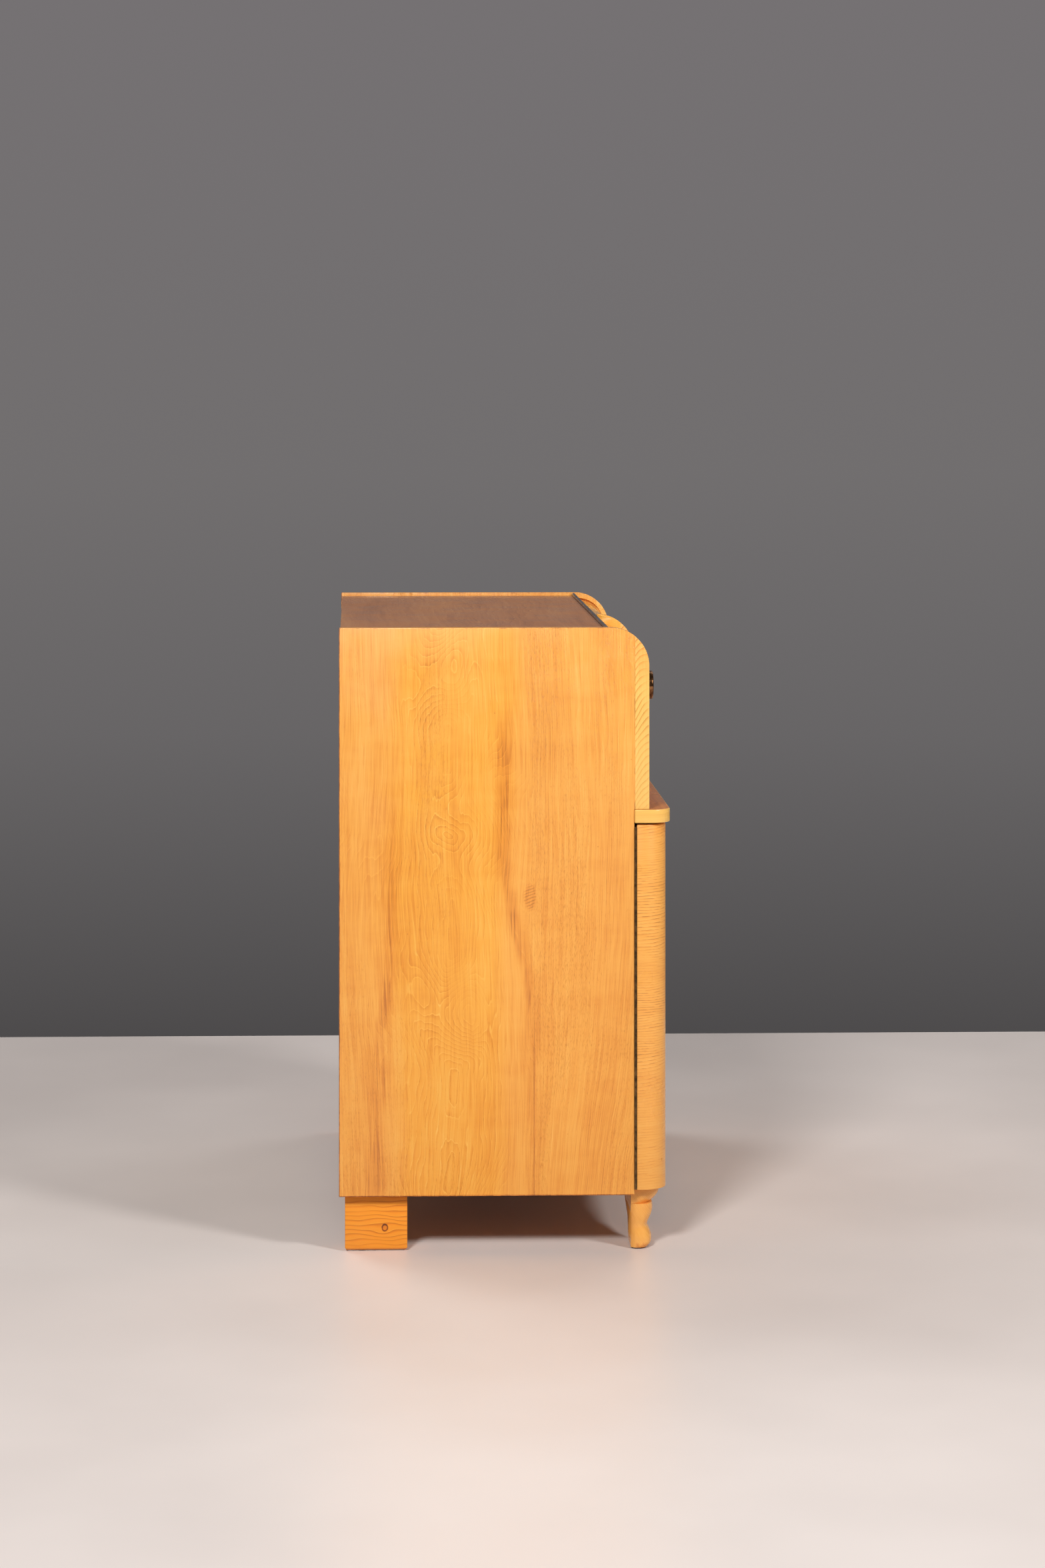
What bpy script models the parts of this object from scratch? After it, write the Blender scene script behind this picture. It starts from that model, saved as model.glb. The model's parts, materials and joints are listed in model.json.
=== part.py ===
"""Roll top desk: two upper bays over three cupboard doors, on short feet.

Frame: +Z up, the front faces -Y and +X is to the right of someone facing the front. The origin is on
the floor, under the middle of the desk's outer box. Depths are measured forward from the rear edges
of the side panels.
"""

import math

import bmesh
import bpy
from mathutils import Matrix, Vector

MM = 0.001
GAP = 0.3 * MM  # between pieces that touch

# Overall sizes
WIDTH = 1080 * MM
HEIGHT = 1100 * MM
UPPER_DEPTH = 547 * MM
LOWER_DEPTH = 520.5 * MM
FOOT_HEIGHT = 100 * MM
KEY_REACH = 22 * MM  # how far a key stands out from its door
DOOR_FACE_DEPTH = 578.6 * MM
REAR_Y = (DOOR_FACE_DEPTH + KEY_REACH) / 2

# Case boards
BOARD = 20 * MM
SIDE_FACE = WIDTH / 2
SIDE_INNER = SIDE_FACE - BOARD
LIPPING = 25 * MM
TOP_CORNER_RADIUS = 68 * MM
LEDGE_BOTTOM = 755.5 * MM
LEDGE_TOP = 779.5 * MM
LEDGE_DEPTH = 585.6 * MM
LEDGE_OVERHANG = 3 * MM
LEDGE_CORNER = 35 * MM
DIVIDER_X = -SIDE_FACE + 373 * MM
DIVIDER_LEFT = DIVIDER_X - BOARD / 2
DIVIDER_RIGHT = DIVIDER_X + BOARD / 2
TOP_BOARD_Z = (1084.5 * MM, 1094 * MM)
TOP_BOARD_DEPTH = 471.5 * MM
BEAD_WIDTH = 6.4 * MM
BEAD_TOP = 1099.5 * MM
BACK_DEPTH = (2 * MM, 10 * MM)
BACK_FRONT = BACK_DEPTH[1] + GAP
BOTTOM_TOP = 122 * MM
CASE_FRONT = 553.6 * MM  # front edges of the boards behind the doors

# Roll front
ROLL_CENTRE = (484 * MM, 1033 * MM)  # depth and height of the corner's axis
ROLL_RADIUS = 50 * MM
SLAT = 9 * MM
SLAT_PITCH = 19.4 * MM
GROOVE_DEPTH = 8 * MM
SLAT_REACH = 7 * MM  # how far a slat enters its groove
RAIL_Z = (LEDGE_TOP + 1 * MM, LEDGE_TOP + 61 * MM)
PULL_RADIUS = 26 * MM
PULL_REACH = 35.5 * MM

# Drop flap
FLAP_THICKNESS = 16 * MM
FLAP_Z = (LEDGE_TOP + 5 * MM, 1030.5 * MM)
FLAP_PULL_Z = 983 * MM
FLAP_AXIS = (ROLL_CENTRE[0] + ROLL_RADIUS + 1.5 * MM, LEDGE_TOP + 2.6 * MM)

# Piano hinges
LEAF = 0.8 * MM
BARREL_RADIUS = 2.2 * MM
BORE_RADIUS = 1.05 * MM
PIN_RADIUS = 0.85 * MM
KNUCKLES = 10
BARREL_SIDES = 8

# Doors
DOOR_Z = (109 * MM, 752 * MM)
DOOR_BOARD = 22 * MM
DOOR_CORNER = 41 * MM
DOOR_HINGE_Z = (110 * MM, 749 * MM)
SIDE_HINGE_GAP = 4.6 * MM
STILE_HINGE_GAP = 3.0 * MM
DOOR_CLEARANCE = 2 * MM
STILE_WIDTH = 40 * MM
STILE_LEFT = DIVIDER_X - STILE_WIDTH / 2
STILE_RIGHT = DIVIDER_X + STILE_WIDTH / 2
DOOR_MEETING_X = 197.5 * MM
SIDE_AXIS_X = SIDE_FACE + 0.5 * MM
SIDE_AXIS_DEPTH = LOWER_DEPTH + SIDE_HINGE_GAP / 2
RETURN_DEPTH = LOWER_DEPTH + SIDE_HINGE_GAP
STILE_AXIS = (STILE_RIGHT + STILE_HINGE_GAP / 2, DOOR_FACE_DEPTH + 2.2 * MM)

# Locks
KEY_INSET = 35 * MM  # from the door's free edge
KEY_Z = 476 * MM
BOLT = (50 * MM, 6 * MM, 12 * MM)
BOLT_Z = 501 * MM
LOCK_CASE = (56 * MM, 12 * MM, 64 * MM)

# Pigeonholes
PIGEON_DEPTH = 215 * MM
DRAWER_HEIGHT = 74 * MM
DRAWER_SHELF_Z = (855 * MM, 863 * MM)
CEILING_Z = (1052 * MM, 1060 * MM)

# Feet
REAR_FOOT = (50 * MM, 110 * MM)
FOOT_INSET = 19 * MM  # behind the side panels' faces
REAR_FOOT_START = 10.5 * MM
FOOT_REAR = 516 * MM
FOOT_OUTER = SIDE_FACE - FOOT_INSET
CAP_Z = (80 * MM, 107.7 * MM)
CAP_LENGTH = 190 * MM
CAP_DEPTH = 567.8 * MM


def y_at(depth):
    """World Y of a depth measured forward from the side panels' rear edges."""
    return REAR_Y - depth


def clear_scene():
    for item in list(bpy.data.objects):
        bpy.data.objects.remove(item, do_unlink=True)


def make_material(name, color, roughness, metallic=0.0):
    material = bpy.data.materials.new(name)
    material.use_nodes = True
    shader = material.node_tree.nodes["Principled BSDF"]
    shader.inputs["Base Color"].default_value = (*color, 1.0)
    shader.inputs["Roughness"].default_value = roughness
    shader.inputs["Metallic"].default_value = metallic
    return material


def make_object(name, mesh_edit, material, origin=(0, 0, 0), smooth=False):
    """Finish a bmesh drawn in world coordinates as an object whose own origin is `origin`."""
    origin = Vector(origin)
    bmesh.ops.recalc_face_normals(mesh_edit, faces=mesh_edit.faces)
    bmesh.ops.translate(mesh_edit, verts=mesh_edit.verts, vec=-origin)
    mesh = bpy.data.meshes.new(name)
    mesh_edit.to_mesh(mesh)
    mesh_edit.free()
    if smooth:
        mesh.shade_smooth()
        mesh.set_sharp_from_angle(angle=math.radians(35))
    mesh.materials.append(material)
    made = bpy.data.objects.new(name, mesh)
    made.location = origin
    bpy.context.collection.objects.link(made)
    return made


def hide_helper(helper):
    helper.hide_render = True
    helper.display_type = "WIRE"


def combine(target, helper, operation):
    """Cut or join a helper with the target, and leave the helper out of the model."""
    modifier = target.modifiers.new(operation.title(), "BOOLEAN")
    modifier.operation = operation
    modifier.solver = "EXACT"
    modifier.object = helper
    hide_helper(helper)


def arc(centre, radius, start, end, steps):
    """Points on an arc, in degrees anticlockwise from the first coordinate's direction."""
    points = []
    for index in range(steps + 1):
        angle = math.radians(start + (end - start) * index / steps)
        points.append((centre[0] + radius * math.cos(angle), centre[1] + radius * math.sin(angle)))
    return points


def extrude_points(mesh_edit, points, shift):
    """Fill a closed outline of 3-D points and extrude it."""
    face = mesh_edit.faces.new([mesh_edit.verts.new(point) for point in points])
    extruded = bmesh.ops.extrude_face_region(mesh_edit, geom=[face])
    moved = [item for item in extruded["geom"] if isinstance(item, bmesh.types.BMVert)]
    bmesh.ops.translate(mesh_edit, verts=moved, vec=Vector(shift))


def side_outline(name, outline, x_span, material, origin=(0, 0, 0), smooth=False):
    """An outline in depth and height, as deep as x_span across the desk."""
    mesh_edit = bmesh.new()
    points = [(x_span[0], y_at(depth), height) for depth, height in outline]
    extrude_points(mesh_edit, points, (x_span[1] - x_span[0], 0, 0))
    return make_object(name, mesh_edit, material, origin, smooth)


def plan_outline(name, outline, z_span, material, origin=(0, 0, 0), smooth=False):
    """An outline in x and depth, standing over z_span."""
    mesh_edit = bmesh.new()
    points = [(x, y_at(depth), z_span[0]) for x, depth in outline]
    extrude_points(mesh_edit, points, (0, 0, z_span[1] - z_span[0]))
    return make_object(name, mesh_edit, material, origin, smooth)


def add_block(mesh_edit, x_span, depth_span, z_span):
    """Add a rectangular block to a bmesh."""
    x_low, x_high = x_span
    y_low, y_high = y_at(depth_span[1]), y_at(depth_span[0])
    corners = [(x_low, y_low), (x_high, y_low), (x_high, y_high), (x_low, y_high)]
    points = [(x, y, z_span[0]) for x, y in corners]
    extrude_points(mesh_edit, points, (0, 0, z_span[1] - z_span[0]))


def block(name, x_span, depth_span, z_span, material, origin=(0, 0, 0)):
    mesh_edit = bmesh.new()
    add_block(mesh_edit, x_span, depth_span, z_span)
    return make_object(name, mesh_edit, material, origin)


def round_bar(name, radius, centre, axis, length, sides, material, origin=(0, 0, 0)):
    """A cylinder from `centre` along a unit axis."""
    mesh_edit = bmesh.new()
    turn = Vector((0, 0, 1)).rotation_difference(Vector(axis)).to_matrix().to_4x4()
    middle = Vector(centre) + Vector(axis) * length / 2
    bmesh.ops.create_cone(
        mesh_edit,
        cap_ends=True,
        segments=sides,
        radius1=radius,
        radius2=radius,
        depth=length,
        matrix=Matrix.Translation(middle) @ turn,
    )
    return make_object(name, mesh_edit, material, origin, smooth=True)


def turned(name, profile, foot, material, origin, segments=28):
    """A knob turned about the line that runs forward from `foot`; profile is radius and reach."""
    mesh_edit = bmesh.new()
    foot = Vector(foot)
    verts = [mesh_edit.verts.new(foot + Vector((radius, -reach, 0))) for radius, reach in profile]
    edges = [mesh_edit.edges.new(pair) for pair in zip(verts, verts[1:])]
    bmesh.ops.spin(
        mesh_edit,
        geom=verts + edges,
        cent=foot,
        axis=(0, 1, 0),
        angle=math.tau,
        steps=segments,
        use_merge=True,
    )
    bmesh.ops.remove_doubles(mesh_edit, verts=mesh_edit.verts, dist=0.01 * MM)
    return make_object(name, mesh_edit, material, origin, smooth=True)


def loft(name, rings, material, smooth=True):
    """A closed solid through rings of 3-D points that all have the same count."""
    mesh_edit = bmesh.new()
    loops = []
    for ring in rings:
        verts = [mesh_edit.verts.new(point) for point in ring]
        edges = [mesh_edit.edges.new(pair) for pair in zip(verts, verts[1:] + verts[:1])]
        loops.append((verts, edges))
    for (_, lower), (_, upper) in zip(loops, loops[1:]):
        bmesh.ops.bridge_loops(mesh_edit, edges=lower + upper)
    mesh_edit.faces.new(loops[0][0])
    mesh_edit.faces.new(loops[-1][0])
    return make_object(name, mesh_edit, material, smooth=smooth)


# Side panels and upper divider ---------------------------------------------------------------------


def corner_arc(start, end, steps):
    """Part of the rounded top front corner of the upright boards, in depth and height."""
    centre = (UPPER_DEPTH - TOP_CORNER_RADIUS, HEIGHT - TOP_CORNER_RADIUS)
    return arc(centre, TOP_CORNER_RADIUS, start, end, steps)


def seam_angle(seam_depth):
    """Angle on the rounded corner at which a vertical seam at this depth meets it."""
    reach = seam_depth - (UPPER_DEPTH - TOP_CORNER_RADIUS)
    return math.degrees(math.acos(reach / TOP_CORNER_RADIUS))


def groove_cutter(name, inner_face, side):
    """The tambour's track on a board whose inner face is at `inner_face`; side is +1 if it cuts to +X."""
    centre_depth, centre_z = ROLL_CENTRE
    front = centre_depth + ROLL_RADIUS
    inner_radius = ROLL_RADIUS - SLAT - 1 * MM
    outer_radius = ROLL_RADIUS + 2.5 * MM
    outer_centre_z = centre_z + 3.5 * MM
    rear = 30 * MM
    inner = [(front - SLAT - 1 * MM, LEDGE_TOP + 0.7 * MM)]
    inner += arc((centre_depth, centre_z), inner_radius, 0, 90, 6)
    inner += [(rear, centre_z + inner_radius)]
    outer = [(rear, outer_centre_z + outer_radius)]
    outer += arc((centre_depth, outer_centre_z), outer_radius, 90, 0, 8)
    outer += [(front + 2.5 * MM, LEDGE_TOP + 0.7 * MM)]
    span = sorted((inner_face - side * 5 * MM, inner_face + side * GROOVE_DEPTH))
    return side_outline(name, inner + outer, span, MATERIALS["canvas"])


def side_panel(name, x_span):
    seam = UPPER_DEPTH - LIPPING - GAP
    outline = [(0, FOOT_HEIGHT), (LOWER_DEPTH, FOOT_HEIGHT), (LOWER_DEPTH, LEDGE_TOP + GAP)]
    outline += [(seam, LEDGE_TOP + GAP)]
    outline += corner_arc(seam_angle(seam), 90, 6)
    outline += [(0, HEIGHT)]
    return side_outline(name, outline, x_span, MATERIALS["veneer"])


def lipping(name, x_span):
    seam = UPPER_DEPTH - LIPPING
    outline = [(seam, LEDGE_TOP + GAP), (UPPER_DEPTH, LEDGE_TOP + GAP)]
    outline += corner_arc(0, seam_angle(seam), 7)
    return side_outline(name, outline, x_span, MATERIALS["lipping"])


def upper_divider():
    """The divider stays under the top board and the bead, and rises in front of them."""
    seam = UPPER_DEPTH - LIPPING - GAP
    step_depth = TOP_BOARD_DEPTH + BEAD_WIDTH + 2 * GAP
    step_z = TOP_BOARD_Z[0] - 1.6 * MM
    outline = [(BACK_FRONT, LEDGE_TOP), (seam, LEDGE_TOP + GAP)]
    outline += corner_arc(seam_angle(seam), 90, 6)
    outline += [(step_depth, HEIGHT), (step_depth, step_z), (BACK_FRONT, step_z)]
    x_span = (DIVIDER_LEFT, DIVIDER_RIGHT)
    return side_outline("upper_divider", outline, x_span, MATERIALS["veneer"])


def upright_boards():
    left = (-SIDE_FACE, -SIDE_INNER)
    right = (SIDE_INNER, SIDE_FACE)
    side_panel("left_side_panel", left)
    lipping("left_side_lipping", left)
    grooved = [side_panel("right_side_panel", right), lipping("right_side_lipping", right)]
    for board in grooved:
        combine(board, groove_cutter(board.name + "_cutter", SIDE_INNER, 1), "DIFFERENCE")
    divider = upper_divider()
    divider_edge = lipping("upper_divider_lipping", (DIVIDER_LEFT, DIVIDER_RIGHT))
    for board in (divider, divider_edge):
        combine(board, groove_cutter(board.name + "_cutter", DIVIDER_RIGHT, -1), "DIFFERENCE")


# Top, back, floors ---------------------------------------------------------------------------------


def case_boards():
    between = (-SIDE_INNER + GAP, SIDE_INNER - GAP)
    veneer = MATERIALS["veneer"]
    block("top_board", between, (BACK_DEPTH[0], TOP_BOARD_DEPTH), TOP_BOARD_Z, MATERIALS["top"])
    back_z = (FOOT_HEIGHT + GAP, TOP_BOARD_Z[0] - GAP)
    block("back_panel", between, BACK_DEPTH, back_z, MATERIALS["plywood"])
    desk_plate_z = (LEDGE_BOTTOM + GAP, LEDGE_TOP - GAP)
    block("desk_plate", between, (BACK_FRONT, LOWER_DEPTH - GAP), desk_plate_z, veneer)
    ceiling_x = (DIVIDER_RIGHT + GAP, SIDE_INNER - GAP)
    block("inner_ceiling", ceiling_x, (BACK_FRONT, 476 * MM), CEILING_Z, MATERIALS["plywood"])
    divider_x = (DIVIDER_X - 9 * MM, DIVIDER_X + 9 * MM)
    divider_z = (BOTTOM_TOP + GAP, LEDGE_BOTTOM - GAP)
    block("lower_divider", divider_x, (BACK_FRONT, CASE_FRONT), divider_z, veneer)
    stile_depth = (CASE_FRONT + GAP, DOOR_FACE_DEPTH - 0.7 * MM)
    stile_z = (DOOR_Z[0], LEDGE_BOTTOM - GAP)
    block("centre_stile", (STILE_LEFT, STILE_RIGHT), stile_depth, stile_z, veneer)


def top_bead():
    """A half-round strip along the front edge of the top board."""
    low = TOP_BOARD_DEPTH + GAP
    radius = BEAD_WIDTH / 2
    base = TOP_BOARD_Z[0] - 1 * MM
    outline = [(low, base), (low + BEAD_WIDTH, base)]
    outline += arc((low + radius, BEAD_TOP - radius), radius, 0, 180, 6)
    span = (-SIDE_INNER + GAP, SIDE_INNER - GAP)
    side_outline("top_bead", outline, span, MATERIALS["veneer"], smooth=True)


def bottom_board():
    """Wide between the side panels, and narrower where it runs forward behind the doors."""
    step = LOWER_DEPTH - 1.5 * MM
    step_z = CAP_Z[1] + 0.6 * MM
    outline = [(BACK_FRONT, FOOT_HEIGHT + GAP), (step, FOOT_HEIGHT + GAP), (step, step_z)]
    outline += [(CASE_FRONT, step_z), (CASE_FRONT, BOTTOM_TOP), (BACK_FRONT, BOTTOM_TOP)]
    span = (-SIDE_INNER + GAP, SIDE_INNER - GAP)
    board = side_outline("bottom_board", outline, span, MATERIALS["veneer"])
    mesh_edit = bmesh.new()
    for side in (-1, 1):
        x_span = sorted((side * (SIDE_INNER - DOOR_CORNER), side * (SIDE_INNER + 5 * MM)))
        add_block(mesh_edit, x_span, (step + GAP, CASE_FRONT + 5 * MM), (FOOT_HEIGHT - 10 * MM, BOTTOM_TOP + 10 * MM))
    corners = make_object("bottom_board_corners", mesh_edit, MATERIALS["veneer"])
    combine(board, corners, "DIFFERENCE")


def ledge():
    """The moulding across the front under the upper bays, rounded at both ends."""
    end = SIDE_FACE + LEDGE_OVERHANG
    rear = LOWER_DEPTH + GAP
    left_centre = (-end + LEDGE_CORNER, LEDGE_DEPTH - LEDGE_CORNER)
    right_centre = (end - LEDGE_CORNER, LEDGE_DEPTH - LEDGE_CORNER)
    outline = [(end, rear)]
    outline += arc(right_centre, LEDGE_CORNER, 0, 90, 7)
    outline += arc(left_centre, LEDGE_CORNER, 90, 180, 7)
    outline += [(-end, rear)]
    plan_outline("ledge", outline, (LEDGE_BOTTOM, LEDGE_TOP), MATERIALS["lipping"])


def shelves():
    front = 498 * MM
    left = (-SIDE_INNER + GAP, DIVIDER_X - 9 * MM - GAP)
    right = (DIVIDER_X + 9 * MM + GAP, SIDE_INNER - GAP)
    shelf_z = (430 * MM, 448 * MM)
    block("left_cupboard_shelf", left, (BACK_FRONT + 5 * MM, front), shelf_z, MATERIALS["plywood"])
    block("right_cupboard_shelf", right, (BACK_FRONT + 5 * MM, front), shelf_z, MATERIALS["plywood"])


# Roll front ----------------------------------------------------------------------------------------


def slat_edge(path, radius_out, count, notch=1.6 * MM):
    """Outer edge of a run of slats: `path` gives a point at a share of the run and a distance out."""
    points = []
    for index in range(count):
        for share in (0.04, 0.5, 0.96):
            points.append(path((index + share) / count, radius_out))
        if index < count - 1:
            points.append(path((index + 1) / count, radius_out - notch))
    return points


def tambour():
    wood = MATERIALS["slats"]
    centre_depth, centre_z = ROLL_CENTRE
    front = centre_depth + ROLL_RADIUS
    inner_radius = ROLL_RADIUS - SLAT
    slat_x = (DIVIDER_RIGHT - SLAT_REACH, SIDE_INNER + SLAT_REACH)
    rail_top = RAIL_Z[1] + GAP

    def upright(share, radius):
        return (centre_depth + radius, rail_top + (centre_z - GAP - rail_top) * share)

    front_slats = slat_edge(upright, ROLL_RADIUS, 10)
    front_slats += [(centre_depth + inner_radius, centre_z - GAP), (centre_depth + inner_radius, rail_top)]
    side_outline("tambour_front_slats", front_slats, slat_x, wood)

    def corner(share, radius):
        angle = math.pi / 2 * share
        return (centre_depth + radius * math.cos(angle), centre_z + radius * math.sin(angle))

    top_count = 12
    stored = top_count * SLAT_PITCH

    def level(share, radius):
        return (centre_depth - stored * share, centre_z + radius)

    rear_slats = slat_edge(corner, ROLL_RADIUS, 4)
    rear_slats += [level(0, ROLL_RADIUS - 1.6 * MM)]
    rear_slats += slat_edge(level, ROLL_RADIUS, top_count)
    rear_slats += [(centre_depth - stored, centre_z + inner_radius)]
    rear_slats += arc(ROLL_CENTRE, inner_radius, 90, 0, 8)
    side_outline("tambour_rear_slats", rear_slats, slat_x, wood)

    canvas = arc(ROLL_CENTRE, inner_radius - 0.2 * MM, 0, 90, 8)
    canvas += [(centre_depth - stored, centre_z + inner_radius - 0.2 * MM)]
    canvas += [(centre_depth - stored, centre_z + inner_radius - 0.9 * MM)]
    canvas += arc(ROLL_CENTRE, inner_radius - 0.9 * MM, 90, 0, 8)
    canvas_x = (DIVIDER_RIGHT + 6 * MM, SIDE_INNER - 6 * MM)
    side_outline("tambour_canvas", canvas, canvas_x, MATERIALS["canvas"])

    body_rear = front - 14 * MM
    tongue_rear = front - SLAT
    body_x = (DIVIDER_RIGHT + 1.5 * MM, SIDE_INNER - 1.5 * MM)
    outline = [(slat_x[0], front), (slat_x[1], front), (slat_x[1], tongue_rear)]
    outline += [(body_x[1], tongue_rear), (body_x[1], body_rear), (body_x[0], body_rear)]
    outline += [(body_x[0], tongue_rear), (slat_x[0], tongue_rear)]
    plan_outline("tambour_bottom_rail", outline, RAIL_Z, wood)
    pull_x = (DIVIDER_RIGHT + SIDE_INNER) / 2
    round_pull("tambour_pull", (pull_x, y_at(front + GAP), RAIL_Z[0] + 29.5 * MM), (0, 0, 0))


def round_pull(name, foot, origin):
    """A brass drum pull: a short waisted neck under a thick disc with a rounded rim and a low dome."""
    reach = PULL_REACH - GAP
    neck = 12 * MM  # where the neck ends
    round_off = 4.5 * MM
    profile = [(0, 0), (15 * MM, 0), (15 * MM, 2 * MM), (11.5 * MM, 5 * MM), (12.5 * MM, neck - 2 * MM)]
    profile += [(PULL_RADIUS - 2 * MM, neck), (PULL_RADIUS, neck + 2 * MM)]
    centre = (PULL_RADIUS - round_off, reach - 2.5 * MM - round_off)
    profile += arc(centre, round_off, 0, 75, 4)
    profile += [(14 * MM, reach - 1 * MM), (0, reach)]
    turned(name, profile, foot, MATERIALS["brass"], origin)


# Left bay: fixed cover and drop flap ---------------------------------------------------------------


def left_bay_cover():
    """A fixed quarter round that continues the flap's face up and back under the top board."""
    inner_radius = ROLL_RADIUS - SLAT
    rear = TOP_BOARD_DEPTH - 5 * MM
    outline = arc(ROLL_CENTRE, ROLL_RADIUS, 0, 90, 12)
    outline += [(rear, ROLL_CENTRE[1] + ROLL_RADIUS), (rear, ROLL_CENTRE[1] + inner_radius)]
    outline += arc(ROLL_CENTRE, inner_radius, 90, 0, 12)
    span = (-SIDE_INNER + GAP, DIVIDER_LEFT - GAP)
    side_outline("left_bay_cover", outline, span, MATERIALS["veneer"], smooth=True)


def flap():
    front = ROLL_CENTRE[0] + ROLL_RADIUS
    x_span = (-SIDE_INNER + 2.5 * MM, DIVIDER_LEFT - 2.5 * MM)
    middle = (x_span[0] + x_span[1]) / 2
    axis = (middle, y_at(FLAP_AXIS[0]), FLAP_AXIS[1])
    block("flap", x_span, (front - FLAP_THICKNESS, front), FLAP_Z, MATERIALS["veneer"], axis)
    round_pull("flap_pull", (middle, y_at(front + GAP), FLAP_PULL_Z), axis)
    turn = Matrix(((0, 0, 1), (1, 0, 0), (0, 1, 0))).to_4x4()
    place = Matrix.Translation((x_span[0] + 2 * MM, axis[1], axis[2])) @ turn
    length = x_span[1] - x_span[0] - 4 * MM
    piano_hinge("flap_hinge_flap_leaf", "flap_hinge_desk_leaf", place, length, SIDE_HINGE_GAP, 20 * MM)
    hinge_pin("flap_hinge_pin", place, length)


# Piano hinges --------------------------------------------------------------------------------------


def hinge_leaf(name, place, length, offset, own, width):
    """One leaf beside the axis: local X runs from the axis into the wood, local Z along the pin.

    offset is the near face's distance from the axis in local Y, with its sign for the side; own is 0
    for a leaf that holds the first knuckle and 1 for a leaf that holds the second one.
    """
    pitch = length / KNUCKLES
    clearance = 0.2 * MM
    side = math.copysign(1, offset)
    wall = (BARREL_RADIUS + BORE_RADIUS) / 2
    tab = math.sqrt(wall**2 - offset**2) if abs(offset) < wall else 0
    notch = BARREL_RADIUS + 0.4 * MM
    edge = []
    for index in range(KNUCKLES):
        reach = tab if index % 2 == own else notch
        margin = clearance if index % 2 == own else -clearance
        low = 0 if index == 0 else index * pitch + margin
        high = length if index == KNUCKLES - 1 else (index + 1) * pitch - margin
        edge += [(reach, low), (reach, high)]
    outline = edge + [(width, length), (width, 0)]
    mesh_edit = bmesh.new()
    extrude_points(mesh_edit, [(x, offset, z) for x, z in outline], (0, side * LEAF, 0))
    leaf = make_object(name, mesh_edit, MATERIALS["hinge"])
    leaf.matrix_world = place
    mesh_edit = bmesh.new()
    for index in range(own, KNUCKLES, 2):
        low, high = index * pitch + clearance, (index + 1) * pitch - clearance
        rings = []
        for radius in (BARREL_RADIUS, BORE_RADIUS):
            ring = bmesh.ops.create_circle(mesh_edit, segments=BARREL_SIDES, radius=radius)["verts"]
            bmesh.ops.translate(mesh_edit, verts=ring, vec=(0, 0, low))
            rings += list({edge for vert in ring for edge in vert.link_edges})
        faces = bmesh.ops.bridge_loops(mesh_edit, edges=rings)["faces"]
        extruded = bmesh.ops.extrude_face_region(mesh_edit, geom=faces)["geom"]
        moved = [item for item in extruded if isinstance(item, bmesh.types.BMVert)]
        bmesh.ops.translate(mesh_edit, verts=moved, vec=(0, 0, high - low))
    knuckles = make_object(name + "_knuckles", mesh_edit, MATERIALS["hinge"])
    knuckles.matrix_world = place
    combine(leaf, knuckles, "UNION")


def piano_hinge(first, second, place, length, gap, width):
    """Two leaves that share a barrel; the first lies on the local +Y side of the axis."""
    offset = gap / 2 - GAP - LEAF
    hinge_leaf(first, place, length, offset, 0, width)
    hinge_leaf(second, place, length, -offset, 1, width)


def hinge_pin(name, place, length):
    foot = place @ Vector((0, 0, 0))
    along = place.to_3x3() @ Vector((0, 0, 1))
    round_bar(name, PIN_RADIUS, foot, along, length, BARREL_SIDES, MATERIALS["hinge"], foot)


# Doors ---------------------------------------------------------------------------------------------


def rounded_door(name, side, free_edge, origin):
    """A door with a rounded return on its hinged side; side is -1 for the left door and +1 for the right."""
    outer_centre = (SIDE_FACE - DOOR_CORNER, DOOR_FACE_DEPTH - DOOR_CORNER)
    outline = [(SIDE_FACE, RETURN_DEPTH)]
    outline += arc(outer_centre, DOOR_CORNER, 0, 90, 9)
    outline += [(side * free_edge, DOOR_FACE_DEPTH), (side * free_edge, DOOR_FACE_DEPTH - DOOR_BOARD)]
    outline += arc(outer_centre, DOOR_CORNER - DOOR_BOARD, 90, 0, 6)
    outline += [(SIDE_FACE - DOOR_BOARD, RETURN_DEPTH)]
    outline = [(side * x, depth) for x, depth in outline]
    return plan_outline(name, outline, DOOR_Z, MATERIALS["door"], origin)


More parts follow.
